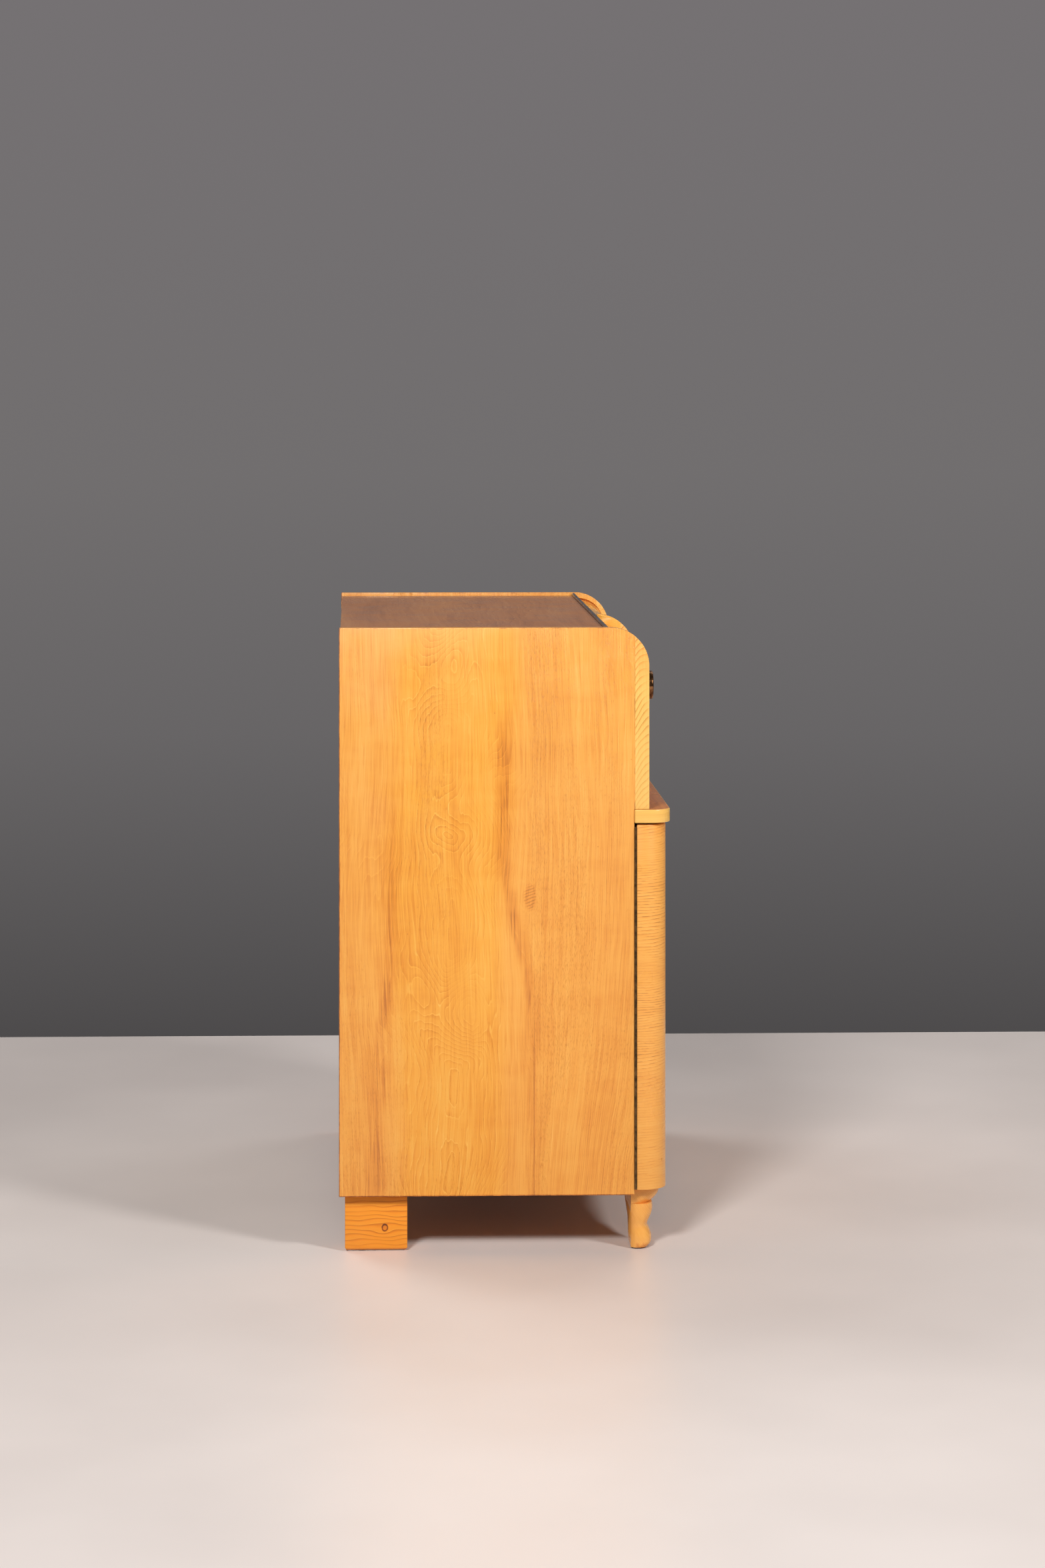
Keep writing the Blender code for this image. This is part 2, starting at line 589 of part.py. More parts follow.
def doors():
    left_free = STILE_LEFT - DOOR_CLEARANCE
    right_free = DOOR_MEETING_X + DOOR_CLEARANCE / 2
    middle_x = (STILE_RIGHT + STILE_HINGE_GAP, DOOR_MEETING_X - DOOR_CLEARANCE / 2)
    side_y = y_at(SIDE_AXIS_DEPTH)
    left_axis = (-SIDE_AXIS_X, side_y, DOOR_HINGE_Z[0])
    right_axis = (SIDE_AXIS_X, side_y, DOOR_HINGE_Z[0])
    stile_axis = (STILE_AXIS[0], y_at(STILE_AXIS[1]), DOOR_HINGE_Z[0])
    length = DOOR_HINGE_Z[1] - DOOR_HINGE_Z[0]

    left = rounded_door("left_door", -1, left_free, left_axis)
    right = rounded_door("right_door", 1, right_free, right_axis)
    board_depth = (DOOR_FACE_DEPTH - DOOR_BOARD, DOOR_FACE_DEPTH)
    block("middle_door", middle_x, board_depth, DOOR_Z, MATERIALS["door"], stile_axis)
    lock("left", left, left_free, -1)
    lock("right", right, right_free, 1)

    half_turn = Matrix.Rotation(math.pi, 4, "Z")
    quarter_turn = Matrix.Rotation(math.pi / 2, 4, "Z")
    left_place = Matrix.Translation(left_axis)
    right_place = Matrix.Translation(right_axis) @ half_turn
    stile_place = Matrix.Translation(stile_axis) @ quarter_turn
    narrow = BOARD - 2 * MM
    piano_hinge("left_hinge_case_leaf", "left_hinge_door_leaf", left_place, length, SIDE_HINGE_GAP, narrow)
    piano_hinge("right_hinge_door_leaf", "right_hinge_case_leaf", right_place, length, SIDE_HINGE_GAP, narrow)
    piano_hinge("middle_hinge_case_leaf", "middle_hinge_door_leaf", stile_place, length, STILE_HINGE_GAP, narrow)
    for which, place in (("left", left_place), ("right", right_place), ("middle", stile_place)):
        hinge_pin(which + "_hinge_pin", place, length)


def lock(which, door, free_edge, side):
    """A surface lock behind a door's free edge; side is -1 if the bolt shoots to +X, and +1 if to -X."""
    steel = MATERIALS["steel"]
    key_x = free_edge + side * KEY_INSET
    back = DOOR_FACE_DEPTH - DOOR_BOARD - GAP
    case_depth = (back - LOCK_CASE[1], back)
    case_x = sorted((free_edge + side * 1 * MM, free_edge + side * (1 * MM + LOCK_CASE[0])))
    case_z = (KEY_Z - 24 * MM, KEY_Z - 24 * MM + LOCK_CASE[2])
    bolt_depth = (case_depth[0] + 2.7 * MM, case_depth[0] + 2.7 * MM + BOLT[1])
    bolt_x = sorted((free_edge + side * 1 * MM, free_edge + side * (1 * MM + BOLT[0])))
    bolt_z = (BOLT_Z - BOLT[2] / 2, BOLT_Z + BOLT[2] / 2)
    hole_radius = 3.2 * MM
    hole_foot = (key_x, y_at(case_depth[0] + 3 * MM), KEY_Z)

    block(which + "_lock_bolt", bolt_x, bolt_depth, bolt_z, steel)
    case = block(which + "_lock_case", case_x, case_depth, case_z, steel)
    tunnel_x = (case_x[0] - 5 * MM, case_x[1] + 5 * MM)
    tunnel_depth = (bolt_depth[0] - GAP, bolt_depth[1] + GAP)
    tunnel = block(case.name + "_tunnel", tunnel_x, tunnel_depth, (bolt_z[0] - GAP, bolt_z[1] + GAP), steel)
    combine(case, tunnel, "DIFFERENCE")
    for piece in (case, door):
        hole = round_bar(piece.name + "_keyhole", hole_radius, hole_foot, (0, -1, 0), 60 * MM, 12, steel)
        combine(piece, hole, "DIFFERENCE")
    key(which + "_key", key_x, case_depth[0] + 4 * MM)


def key(name, x, tip_depth):
    """A plain key: a round stem with a flat ring bow joined to its end."""
    axis = (x, y_at(DOOR_FACE_DEPTH), KEY_Z)
    bow_depth = DOOR_FACE_DEPTH + KEY_REACH - 9 * MM
    foot = (x, y_at(tip_depth), KEY_Z)
    stem_length = bow_depth - 5 * MM - tip_depth
    stem = round_bar(name, 2.4 * MM, foot, (0, -1, 0), stem_length, 10, MATERIALS["steel"], axis)
    mesh_edit = bmesh.new()
    rings = []
    for radius in (9 * MM, 5.5 * MM):
        ring = bmesh.ops.create_circle(mesh_edit, segments=16, radius=radius)["verts"]
        rings += list({edge for vert in ring for edge in vert.link_edges})
    faces = bmesh.ops.bridge_loops(mesh_edit, edges=rings)["faces"]
    extruded = bmesh.ops.extrude_face_region(mesh_edit, geom=faces)["geom"]
    moved = [item for item in extruded if isinstance(item, bmesh.types.BMVert)]
    bmesh.ops.translate(mesh_edit, verts=moved, vec=(0, 0, 3 * MM))
    bmesh.ops.translate(mesh_edit, verts=mesh_edit.verts, vec=(0, 0, -1.5 * MM))
    stand = Matrix.Rotation(math.pi / 2, 4, "Y")
    centre = Matrix.Translation((x, y_at(bow_depth), KEY_Z))
    bmesh.ops.transform(mesh_edit, matrix=centre @ stand, verts=mesh_edit.verts)
    bow = make_object(name + "_bow", mesh_edit, MATERIALS["steel"])
    combine(stem, bow, "UNION")


# Pigeonholes and small drawers ---------------------------------------------------------------------


def pigeonholes():
    plywood = MATERIALS["plywood"]
    span = (DIVIDER_RIGHT + GAP, SIDE_INNER - GAP)
    middle = (span[0] + span[1]) / 2
    depth = (BACK_FRONT, PIGEON_DEPTH)
    block("pigeonhole_shelf", span, depth, DRAWER_SHELF_Z, plywood)
    half = 5 * MM
    drawer_z = (LEDGE_TOP, DRAWER_SHELF_Z[0] - GAP)
    block("pigeonhole_drawer_divider", (middle - half, middle + half), depth, drawer_z, plywood)
    grid_low, grid_high = DRAWER_SHELF_Z[1] + GAP, CEILING_Z[0] - GAP
    grid_middle = (grid_low + grid_high) / 2
    grid = block("pigeonhole_grid", span, depth, (grid_middle - 4 * MM, grid_middle + 4 * MM), plywood)
    mesh_edit = bmesh.new()
    for share in (0.25, 0.5, 0.75):
        x = span[0] + (span[1] - span[0]) * share
        grid_depth = (BACK_FRONT, PIGEON_DEPTH - 1 * MM)
        add_block(mesh_edit, (x - 4 * MM, x + 4 * MM), grid_depth, (grid_low, grid_high))
    partitions = make_object("pigeonhole_partitions", mesh_edit, plywood)
    combine(grid, partitions, "UNION")
    small_drawer("left_small_drawer", (span[0] + 1 * MM, middle - half - 1 * MM))
    small_drawer("right_small_drawer", (middle + half + 1 * MM, span[1] - 1 * MM))


def small_drawer(name, x_span):
    """An open box whose front closes flush with the pigeonholes' front edges."""
    wall = 8 * MM
    front_wall = 12 * MM
    floor = 5 * MM
    low = LEDGE_TOP + 0.6 * MM
    z_span = (low, low + DRAWER_HEIGHT)
    depth = (BACK_FRONT + 3 * MM, PIGEON_DEPTH)
    drawer = block(name, x_span, depth, z_span, MATERIALS["drawer"])
    hollow_x = (x_span[0] + wall, x_span[1] - wall)
    hollow_depth = (depth[0] + wall, depth[1] - front_wall)
    hollow = block(name + "_hollow", hollow_x, hollow_depth, (low + floor, low + 100 * MM), MATERIALS["drawer"])
    combine(drawer, hollow, "DIFFERENCE")
    foot = ((x_span[0] + x_span[1]) / 2, y_at(PIGEON_DEPTH + GAP), low + DRAWER_HEIGHT / 2)
    profile = [(0, 0), (5 * MM, 0), (4 * MM, 4 * MM), (8 * MM, 8 * MM), (8.5 * MM, 11 * MM)]
    profile += [(6 * MM, 14 * MM), (0, 15 * MM)]
    turned(name + "_knob", profile, foot, MATERIALS["brass"], (0, 0, 0), segments=14)


# Feet ----------------------------------------------------------------------------------------------


def rear_foot(name, side):
    """A sawn block with its bottom edges chamfered."""
    outer = SIDE_FACE - FOOT_INSET
    x_span = sorted((side * outer, side * (outer - REAR_FOOT[0])))
    chamfer = 4 * MM
    rings = []
    for height, inset in ((0, chamfer), (chamfer, 0), (FOOT_HEIGHT - GAP, 0)):
        near, far = REAR_FOOT_START + inset, REAR_FOOT_START + REAR_FOOT[1] - inset
        left, right = x_span[0] + inset, x_span[1] - inset
        corners = [(left, near), (right, near), (right, far), (left, far)]
        rings.append([(x, y_at(depth), height) for x, depth in corners])
    loft(name, rings, MATERIALS["pine"], smooth=False)


def front_foot_ring(side, height, front, width):
    """Section of a cabriole foot: rounded outside corner, and a thin wing towards the middle."""
    leg = min(width, 76 * MM)
    corner = 22 * MM
    inner_corner = 12 * MM
    wing_front = FOOT_REAR + 22 * MM
    wing = max(width - leg, 1.5 * MM)
    outline = [(0, FOOT_REAR)]
    outline += arc((corner, front - corner), corner, 180, 90, 5)
    outline += arc((leg - inner_corner, front - inner_corner), inner_corner, 90, 0, 3)
    outline += [(leg + wing, wing_front - wing * 0.03), (leg + wing, FOOT_REAR)]
    return [(side * (FOOT_OUTER - x), y_at(depth), height) for x, depth in outline]


def front_foot(name, side):
    """Toe, ankle and knee: height, front depth and width of each section, in millimetres."""
    sections = [
        (0, 545.4, 55), (6, 551.1, 63), (12, 554, 71), (20, 554.2, 76), (29, 551.4, 79),
        (37, 548, 84), (42, 547.4, 93), (49, 550, 121), (56, 553, 147), (63, 555.2, 165),
        (72, 556.3, 178), (79.7, 554.9, 186),
    ]
    rings = [front_foot_ring(side, z * MM, front * MM, width * MM) for z, front, width in sections]
    loft(name, rings, MATERIALS["foot"])


def foot_cap(name, side):
    """The block over a front foot: an ovolo that swells out to the door's face."""
    steps = 5
    swell = 15 * MM
    flank = 4 * MM
    rings = []
    for index in range(steps + 2):
        share = min(index / steps, 1)
        bulge = math.sin(share * math.pi / 2)
        height = CAP_Z[0] + (CAP_Z[1] - 5 * MM - CAP_Z[0]) * share
        if index > steps:
            height = CAP_Z[1]
        front = CAP_DEPTH - swell * (1 - bulge)
        outer = FOOT_OUTER + 1 * MM - flank * (1 - bulge)
        corner = 35 * MM
        inner = FOOT_OUTER - CAP_LENGTH
        outline = [(inner, FOOT_REAR), (outer, FOOT_REAR)]
        outline += arc((outer - corner, front - corner), corner, 0, 90, 6)
        outline += [(inner, front)]
        rings.append([(side * x, y_at(depth), height) for x, depth in outline])
    cap = loft(name, rings, MATERIALS["foot"])
    x_span = sorted((side * (SIDE_FACE + 10 * MM), side * (FOOT_OUTER - CAP_LENGTH - 10 * MM)))
    rebate_z = (FOOT_HEIGHT - GAP, CAP_Z[1] + 10 * MM)
    rebate = block(name + "_rebate", x_span, (FOOT_REAR - 10 * MM, LOWER_DEPTH + GAP), rebate_z, MATERIALS["foot"])
    combine(cap, rebate, "DIFFERENCE")


def feet():
    for word, side in (("left", -1), ("right", 1)):
        rear_foot("rear_" + word + "_foot", side)
        front_foot("front_" + word + "_foot", side)
        foot_cap("front_" + word + "_foot_cap", side)


MATERIALS = {}


def make_materials():
    MATERIALS["veneer"] = make_material("honey_veneer", (0.72, 0.38, 0.12), 0.35)
    MATERIALS["top"] = make_material("worn_top_veneer", (0.38, 0.21, 0.11), 0.4)
    MATERIALS["door"] = make_material("door_veneer", (0.74, 0.37, 0.10), 0.33)
    MATERIALS["lipping"] = make_material("solid_ash", (0.78, 0.45, 0.15), 0.38)
    MATERIALS["slats"] = make_material("slat_wood", (0.70, 0.36, 0.11), 0.3)
    MATERIALS["plywood"] = make_material("plywood", (0.62, 0.42, 0.22), 0.6)
    MATERIALS["drawer"] = make_material("drawer_wood", (0.66, 0.42, 0.20), 0.5)
    MATERIALS["pine"] = make_material("pine", (0.74, 0.34, 0.07), 0.5)
    MATERIALS["foot"] = make_material("turned_beech", (0.74, 0.36, 0.10), 0.32)
    MATERIALS["brass"] = make_material("aged_brass", (0.36, 0.22, 0.07), 0.35, 1.0)
    MATERIALS["hinge"] = make_material("hinge_brass", (0.42, 0.30, 0.13), 0.4, 1.0)
    MATERIALS["steel"] = make_material("lock_steel", (0.45, 0.43, 0.40), 0.35, 1.0)
    MATERIALS["canvas"] = make_material("canvas", (0.55, 0.48, 0.36), 0.9)


def main():
    clear_scene()
    make_materials()
    upright_boards()
    case_boards()
    top_bead()
    bottom_board()
    ledge()
    shelves()
    tambour()
    left_bay_cover()
    flap()
    doors()
    pigeonholes()
    feet()


main()
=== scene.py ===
"""The roll top desk's looks: figured veneer, solid wood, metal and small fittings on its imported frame.

Metres, +Z up, the front faces -Y. Places come from the frame's nodes and the bodies' joints.
"""

import json
import math

import bmesh
import bpy
from mathutils import Matrix, Vector


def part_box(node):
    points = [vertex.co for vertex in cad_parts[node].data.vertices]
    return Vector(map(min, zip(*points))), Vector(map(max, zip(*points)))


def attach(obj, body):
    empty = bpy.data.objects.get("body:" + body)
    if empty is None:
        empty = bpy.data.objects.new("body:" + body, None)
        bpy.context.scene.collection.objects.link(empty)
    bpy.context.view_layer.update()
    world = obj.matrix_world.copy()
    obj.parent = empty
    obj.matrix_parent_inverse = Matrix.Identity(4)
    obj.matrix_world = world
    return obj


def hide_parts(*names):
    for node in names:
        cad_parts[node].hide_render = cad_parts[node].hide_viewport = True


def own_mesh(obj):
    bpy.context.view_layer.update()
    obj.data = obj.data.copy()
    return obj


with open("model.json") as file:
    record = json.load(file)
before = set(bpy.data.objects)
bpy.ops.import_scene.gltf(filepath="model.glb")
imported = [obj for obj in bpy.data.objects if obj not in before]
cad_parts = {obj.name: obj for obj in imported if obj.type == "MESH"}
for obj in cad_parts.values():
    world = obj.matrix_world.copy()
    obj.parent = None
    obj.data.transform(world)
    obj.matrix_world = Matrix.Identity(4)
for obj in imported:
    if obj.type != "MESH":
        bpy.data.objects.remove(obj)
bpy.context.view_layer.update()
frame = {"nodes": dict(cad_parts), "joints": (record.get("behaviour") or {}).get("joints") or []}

MM = 0.001
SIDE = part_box("left_side_panel")
REAR_Y = SIDE[1].y
SIDE_FACE = -SIDE[0].x
JOINTS = {joint["name"]: joint for joint in frame["joints"]}

# Camera and room
CAMERA_DISTANCE = 6.508  # from the left side panel's face
CAMERA_HEIGHT = 1.5423
CAMERA_DEPTH = 0.0303  # in front of the side panels' rear edges
CAMERA_YAW = math.radians(1.75)
CAMERA_LENS = 84.95
CAMERA_SHIFT = (0.034, -0.2598)
FLOOR_FAR_X = 1.62
WALL_FOOT = -0.18  # direction, as the Z of a unit vector, in which the wall meets the floor
AMBIENT = 0.3  # light from the room's other walls, as a share of the lit wall's
# Painted shade on the wall: darkest at its foot, lighter upwards
WALL_SHADES = (  # from the wall's foot upwards
    (0.0, (0.070, 0.066, 0.067)),
    (0.30, (0.137, 0.130, 0.132)),
    (0.55, (0.166, 0.157, 0.158)),
    (1.0, (0.178, 0.166, 0.171)),
)
LAMPS = (  # name, place, aim, diameter, watts, colour
    ("key_light", (-6.2, 1.9, 5.0), (0, 0, 0.45), 1.4, 350, (1.0, 0.975, 0.95)),
    ("front_light", (-4.3, -4.1, 4.2), (0, 0, 0.5), 1.3, 215, (1.0, 0.975, 0.95)),
    ("back_light", (2.2, 2.6, 5.2), (0, 0, 0.6), 2.2, 75, (1.0, 0.98, 0.96)),
    ("right_light", (2.6, -2.0, 5.2), (0, 0, 0.6), 2.2, 40, (1.0, 0.98, 0.96)),
)

# Sizes that the frame's boxes don't hold
TOP_CORNER = 68 * MM
ROLL_SLAT = 9 * MM
ROLL_GROOVE = 8 * MM
LEDGE_CORNER = 35 * MM
DOOR_CORNER = 41 * MM
DOOR_BOARD = 22 * MM
HINGE_LEAF = 0.8 * MM
HINGE_BARREL = 2.2 * MM
HINGE_BORE = 1.05 * MM
HINGE_PITCH = 20 * MM
GLIDE = 2 * MM
GAP = 0.3 * MM  # between pieces that touch
BOARD = 20 * MM


def depth_y(depth):
    """World Y of a depth measured forward from the side panels' rear edges."""
    return REAR_Y - depth


# ---- Node graphs ----


class Value:
    """A number that varies over a surface. Arithmetic on it adds Math nodes."""

    def __init__(self, graph, socket):
        self.graph = graph
        self.socket = socket

    def __add__(self, other):
        return self.graph.math("ADD", self, other)

    __radd__ = __add__

    def __sub__(self, other):
        return self.graph.math("SUBTRACT", self, other)

    def __rsub__(self, other):
        return self.graph.math("SUBTRACT", other, self)

    def __mul__(self, other):
        return self.graph.math("MULTIPLY", self, other)

    def __truediv__(self, other):
        return self.graph.math("DIVIDE", self, other)

    def __abs__(self):
        return self.graph.math("ABSOLUTE", self)


class Nodes:
    """A material's or world's nodes. Values, sockets and plain numbers can all be given as inputs."""

    def __init__(self, tree):
        self.tree = tree

    def node(self, kind, settings=None, inputs=None):
        made = self.tree.nodes.new("ShaderNode" + kind)
        for name, value in (settings or {}).items():
            setattr(made, name, value)
        for key, value in (inputs or {}).items():
            self.feed(made.inputs[key], value)
        return made

    def feed(self, socket, value):
        if isinstance(value, Value):
            value = value.socket
        if isinstance(value, bpy.types.NodeSocket):
            self.tree.links.new(value, socket)
        else:
            socket.default_value = value

    def math(self, operation, *values):
        return Value(self, self.node("Math", {"operation": operation}, dict(enumerate(values))).outputs[0])

    def distance(self, first, second):
        return self.math("SQRT", first * first + second * second)

    def vector(self, x, y, z):
        return self.node("CombineXYZ", inputs={0: x, 1: y, 2: z}).outputs[0]

    def parts(self, vector):
        return [Value(self, output) for output in self.node("SeparateXYZ", inputs={0: vector}).outputs]

    def noise(self, vector, detail, roughness=0.5):
        """Noise with features about one unit wide, from 0 to 1."""
        inputs = {"Vector": vector, "Scale": 1.0, "Detail": detail, "Roughness": roughness}
        return Value(self, self.node("TexNoise", inputs=inputs).outputs[0])

    def sway(self, vector, amount, detail=1.0):
        """Noise about zero, up to half of `amount` to either side."""
        return (self.noise(vector, detail) - 0.5) * amount

    def span(self, value, low, high, to_low=0.0, to_high=1.0, smooth=True):
        """`value` rescaled so that low to high becomes to_low to to_high, and clamped there."""
        kind = {"interpolation_type": "SMOOTHSTEP" if smooth else "LINEAR"}
        inputs = {"Value": value, "From Min": low, "From Max": high, "To Min": to_low, "To Max": to_high}
        return Value(self, self.node("MapRange", kind, inputs).outputs["Result"])

    def ramp(self, factor, stops):
        made = self.node("ValToRGB", inputs={"Fac": factor})
        elements = made.color_ramp.elements
        elements.remove(elements[1])
        elements[0].position = stops[0][0]
        elements[0].color = (*stops[0][1], 1.0)
        for position, color in stops[1:]:
            elements.new(position).color = (*color, 1.0)
        return made.outputs["Color"]

    def mix(self, factor, first, second, blend="MIX"):
        settings = {"data_type": "RGBA", "blend_type": blend}
        first, second = [(*v, 1.0) if isinstance(v, tuple) else v for v in (first, second)]
        return self.node("Mix", settings, {0: factor, 6: first, 7: second}).outputs[2]


class Graph(Nodes):
    """A new material with its shader, its surface's coordinates and how far the surface faces up."""

    def __init__(self, name):
        self.material = bpy.data.materials.new(name)
        self.material.use_nodes = True
        super().__init__(self.material.node_tree)
        self.shader = self.tree.nodes["Principled BSDF"]
        coordinates = self.node("TexCoord")
        self.place = coordinates.outputs["Object"]
        self.x, self.y, self.z = self.parts(self.place)
        self.upward = self.parts(coordinates.outputs["Normal"])[2]

    def scaled(self, scale):
        """Coordinates whose noise has features about 1 / `scale` metres wide."""
        return self.node("VectorMath", {"operation": "SCALE"}, {0: self.place, 3: scale}).outputs[0]

    def bump(self, height, distance):
        inputs = {"Height": height, "Distance": distance, "Strength": 1.0}
        self.feed(self.shader.inputs["Normal"], self.node("Bump", inputs=inputs).outputs[0])

    def set(self, **values):
        """Shader inputs by name, with underscores for spaces."""
        for name, value in values.items():
            self.feed(self.shader.inputs[name.replace("_", " ")], value)


def edge_nearness(graph, box, width):
    """1 on the edges of a box-shaped node, falling to 0 at `width` from them."""
    near = []
    for place, low, high in zip((graph.x, graph.y, graph.z), *box):
        near.append(abs(graph.math("MINIMUM", place - low, high - place)))
    smaller = graph.math("MINIMUM", near[0], near[1])
    larger = graph.math("MAXIMUM", near[0], near[1])
    second = graph.math("MAXIMUM", smaller, graph.math("MINIMUM", larger, near[2]))
    return graph.span(second, 0.0, width, 1.0, 0.0)


# ---- Wood ----

# Tones from a pore's brown, through the shaded and plain wood, to the palest line of the figure
HONEY = [
    (0.0, (0.25, 0.07, 0.008)),
    (0.22, (0.54, 0.17, 0.015)),
    (0.42, (0.78, 0.295, 0.030)),
    (0.62, (0.89, 0.41, 0.055)),
    (0.8, (0.92, 0.50, 0.095)),
    (1.0, (0.95, 0.61, 0.17)),
]
PALE = [
    (0.0, (0.40, 0.16, 0.025)),
    (0.3, (0.70, 0.33, 0.060)),
    (0.6, (0.90, 0.52, 0.125)),
    (0.8, (0.93, 0.60, 0.17)),
    (1.0, (0.95, 0.68, 0.26)),
]
ROSY = [
    (0.0, (0.27, 0.085, 0.022)),
    (0.25, (0.56, 0.20, 0.045)),
    (0.45, (0.78, 0.315, 0.060)),
    (0.62, (0.88, 0.415, 0.090)),
    (0.8, (0.92, 0.50, 0.130)),
    (1.0, (0.95, 0.61, 0.21)),
]
PINE = [
    (0.0, (0.16, 0.035, 0.004)),
    (0.3, (0.60, 0.16, 0.008)),
    (0.6, (0.86, 0.28, 0.012)),
    (0.8, (0.88, 0.34, 0.024)),
    (1.0, (0.90, 0.43, 0.06)),
]
EBONY = [
    (0.0, (0.020, 0.015, 0.013)),
    (1.0, (0.090, 0.062, 0.050)),
]
BROWN = [
    (0.0, (0.09, 0.028, 0.010)),
    (0.3, (0.25, 0.085, 0.026)),
    (0.6, (0.42, 0.16, 0.050)),
    (1.0, (0.56, 0.26, 0.09)),
]
PLY = [
    (0.0, (0.30, 0.17, 0.08)),
    (0.3, (0.48, 0.30, 0.15)),
    (0.6, (0.60, 0.41, 0.22)),
    (1.0, (0.70, 0.52, 0.31)),
]

# Boards with a plain finish: the way their fibres run, and their palette
PLAIN_BOARDS = {
    "desk_plate": ("X_on_top", HONEY),
    # The bottom board's dark palette is painted shade: it darkens the underside and the space under the desk
    "bottom_board": ("X_on_top", BROWN),
    "lower_divider": ("Z", PLY),
    "centre_stile": ("Z_on_front", HONEY),
    "left_cupboard_shelf": ("X_on_top", PLY),
    "right_cupboard_shelf": ("X_on_top", PLY),
    "pigeonhole_shelf": ("X_on_top", PLY),
    "pigeonhole_drawer_divider": ("Y", PLY),
    "pigeonhole_grid": ("X", PLY),
    "inner_ceiling": ("X_on_top", PLY),
    "back_panel": ("Z_on_front", PLY),
    "left_small_drawer": ("X", PLY),
    "right_small_drawer": ("X", PLY),
    "left_bay_cover": ("X", HONEY),
    "flap": ("X", HONEY),
    "tambour_front_slats": ("X", HONEY),
    "tambour_rear_slats": ("X", HONEY),
    "tambour_bottom_rail": ("X", HONEY),
}
POLISHED = ("left_bay_cover", "flap", "tambour_front_slats", "tambour_rear_slats", "tambour_bottom_rail")


class Grain:
    """Coordinates of one board: along the fibres, across them, and through the board."""

    def __init__(self, graph, along, across, through, seed):
        self.graph = graph
        self.along = along + seed
        low = graph.vector(across * 5.0, through * 5.0, self.along * 1.9)
        fine = graph.vector(across * 26.0, through * 26.0, self.along * 9.0)
        self.plain_across = across + graph.sway(fine, 0.005)
        self.across = self.plain_across + graph.sway(low, 0.05)
        self.through = through + 0.37 * seed

    def noise(self, across_scale, along_scale, detail=2.0):
        """Noise drawn out along the fibres, from 0 to 1."""
        across = self.across * across_scale
        through = self.through * across_scale
        return self.graph.noise(self.graph.vector(across, through, self.along * along_scale), detail)

    def streaks(self, across_scale, along_scale, amount, detail=2.0):
        return (self.noise(across_scale, along_scale, detail) - 0.5) * amount


def ring_lines(grain, radius, pitch, strength, jagged=1.0):
    """Thin pale and soft dark lines at each step of `radius`, which can be a distance to a log's heart."""
    graph = grain.graph
    wobble = grain.streaks(30.0, 9.0, 2.0 * jagged, 1.5) + grain.streaks(120.0, 20.0, 0.8 * jagged, 1.5)
    ring = graph.math("FRACT", radius * (1 / pitch) + wobble)
    dark = graph.span(ring, 0.35, 0.86) * graph.span(ring, 0.86, 0.91, 1.0, 0.0)
    pale = graph.span(ring, 0.84, 0.92) * graph.span(ring, 0.93, 1.0, 1.0, 0.0)
    clear = graph.span(grain.noise(11.0, 5.0, 1.5), 0.36, 0.62, 0.25, 1.0)
    lines = pale * (1.2 * strength) - dark * (0.6 * strength)
    return lines * clear, dark * clear


def growth_rings(grain, heart, wander, pitch, strength):
    """Lines where the face cuts the rings of a log: arches over the heart and stripes beside it."""
    graph = grain.graph
    side = grain.across - heart
    rise = graph.vector(side * 6.0, 0.0, grain.along * 3.4)
    below = graph.sway(rise, 8 * wander, 1.0)
    lines, dark = ring_lines(grain, graph.distance(side, below), pitch, strength)
    flank = graph.span(abs(side), 6 * pitch, 14 * pitch, 1.0, 0.35)
    return lines * flank, dark * flank


def pores(grain, size, cover, along_ratio=0.1):
    """Short dark dashes along the fibres; `cover` is a number from 0 to 1 or a mask."""
    graph = grain.graph
    dash = grain.noise(1 / size, along_ratio / size, 1.0)
    edge = graph.span(cover, 0.0, 1.0, 0.80, 0.52, smooth=False)
    return graph.span(dash - edge, 0.0, 0.12)


def shadow_band(grain, centre, half_width, strength):
    """A brown cloud along the fibres with darker hairlines in it; centre and strength can be masks."""
    graph = grain.graph
    drift = grain.streaks(4.0, 9.0, 0.9 * half_width)
    wide = half_width + grain.streaks(22.0, 10.0, half_width * 1.8)
    distance = abs(grain.plain_across + drift - centre)
    share = distance / graph.math("MAXIMUM", wide, 0.3 * half_width)
    cloud = graph.span(share, 0.0, 1.7, 1.0, 0.0)
    hair = graph.span(grain.noise(420.0, 8.0), 0.46, 0.68)
    broken = graph.span(grain.noise(60.0, 14.0), 0.35, 0.6)
    hairs = hair * broken * graph.span(share, 0.2, 1.1, 1.0, 0.0)
    return (cloud * 0.6 + hairs) * strength


def finish_wood(graph, grain, tone, pore, palette, gloss, rosy=None, lower_darkening=None):
    """Colour, sheen and relief from a tone, which is about 0.6 on plain wood, and a pore mask.

    `rosy` is a mask for pinker wood, and `lower_darkening` one for wood drawn darker and more orange.
    """
    shade = tone - pore * 0.17
    color = graph.ramp(shade, palette)
    if rosy:
        color = graph.mix(rosy, color, graph.ramp(shade, ROSY))
    if lower_darkening:
        color = graph.mix(lower_darkening, color, (0.99, 0.90, 0.70), "MULTIPLY")
    sheen = graph.noise(graph.scaled(14.0), 3.0)
    roughness = graph.span(sheen, 0.3, 0.7, gloss - 0.05, gloss + 0.07) + pore * 0.2
    ridge = grain.noise(420.0, 14.0) - pore * 1.5
    graph.bump(ridge, 0.00009)
    graph.set(Base_Color=color, Roughness=roughness, IOR=1.5)
    return graph.material


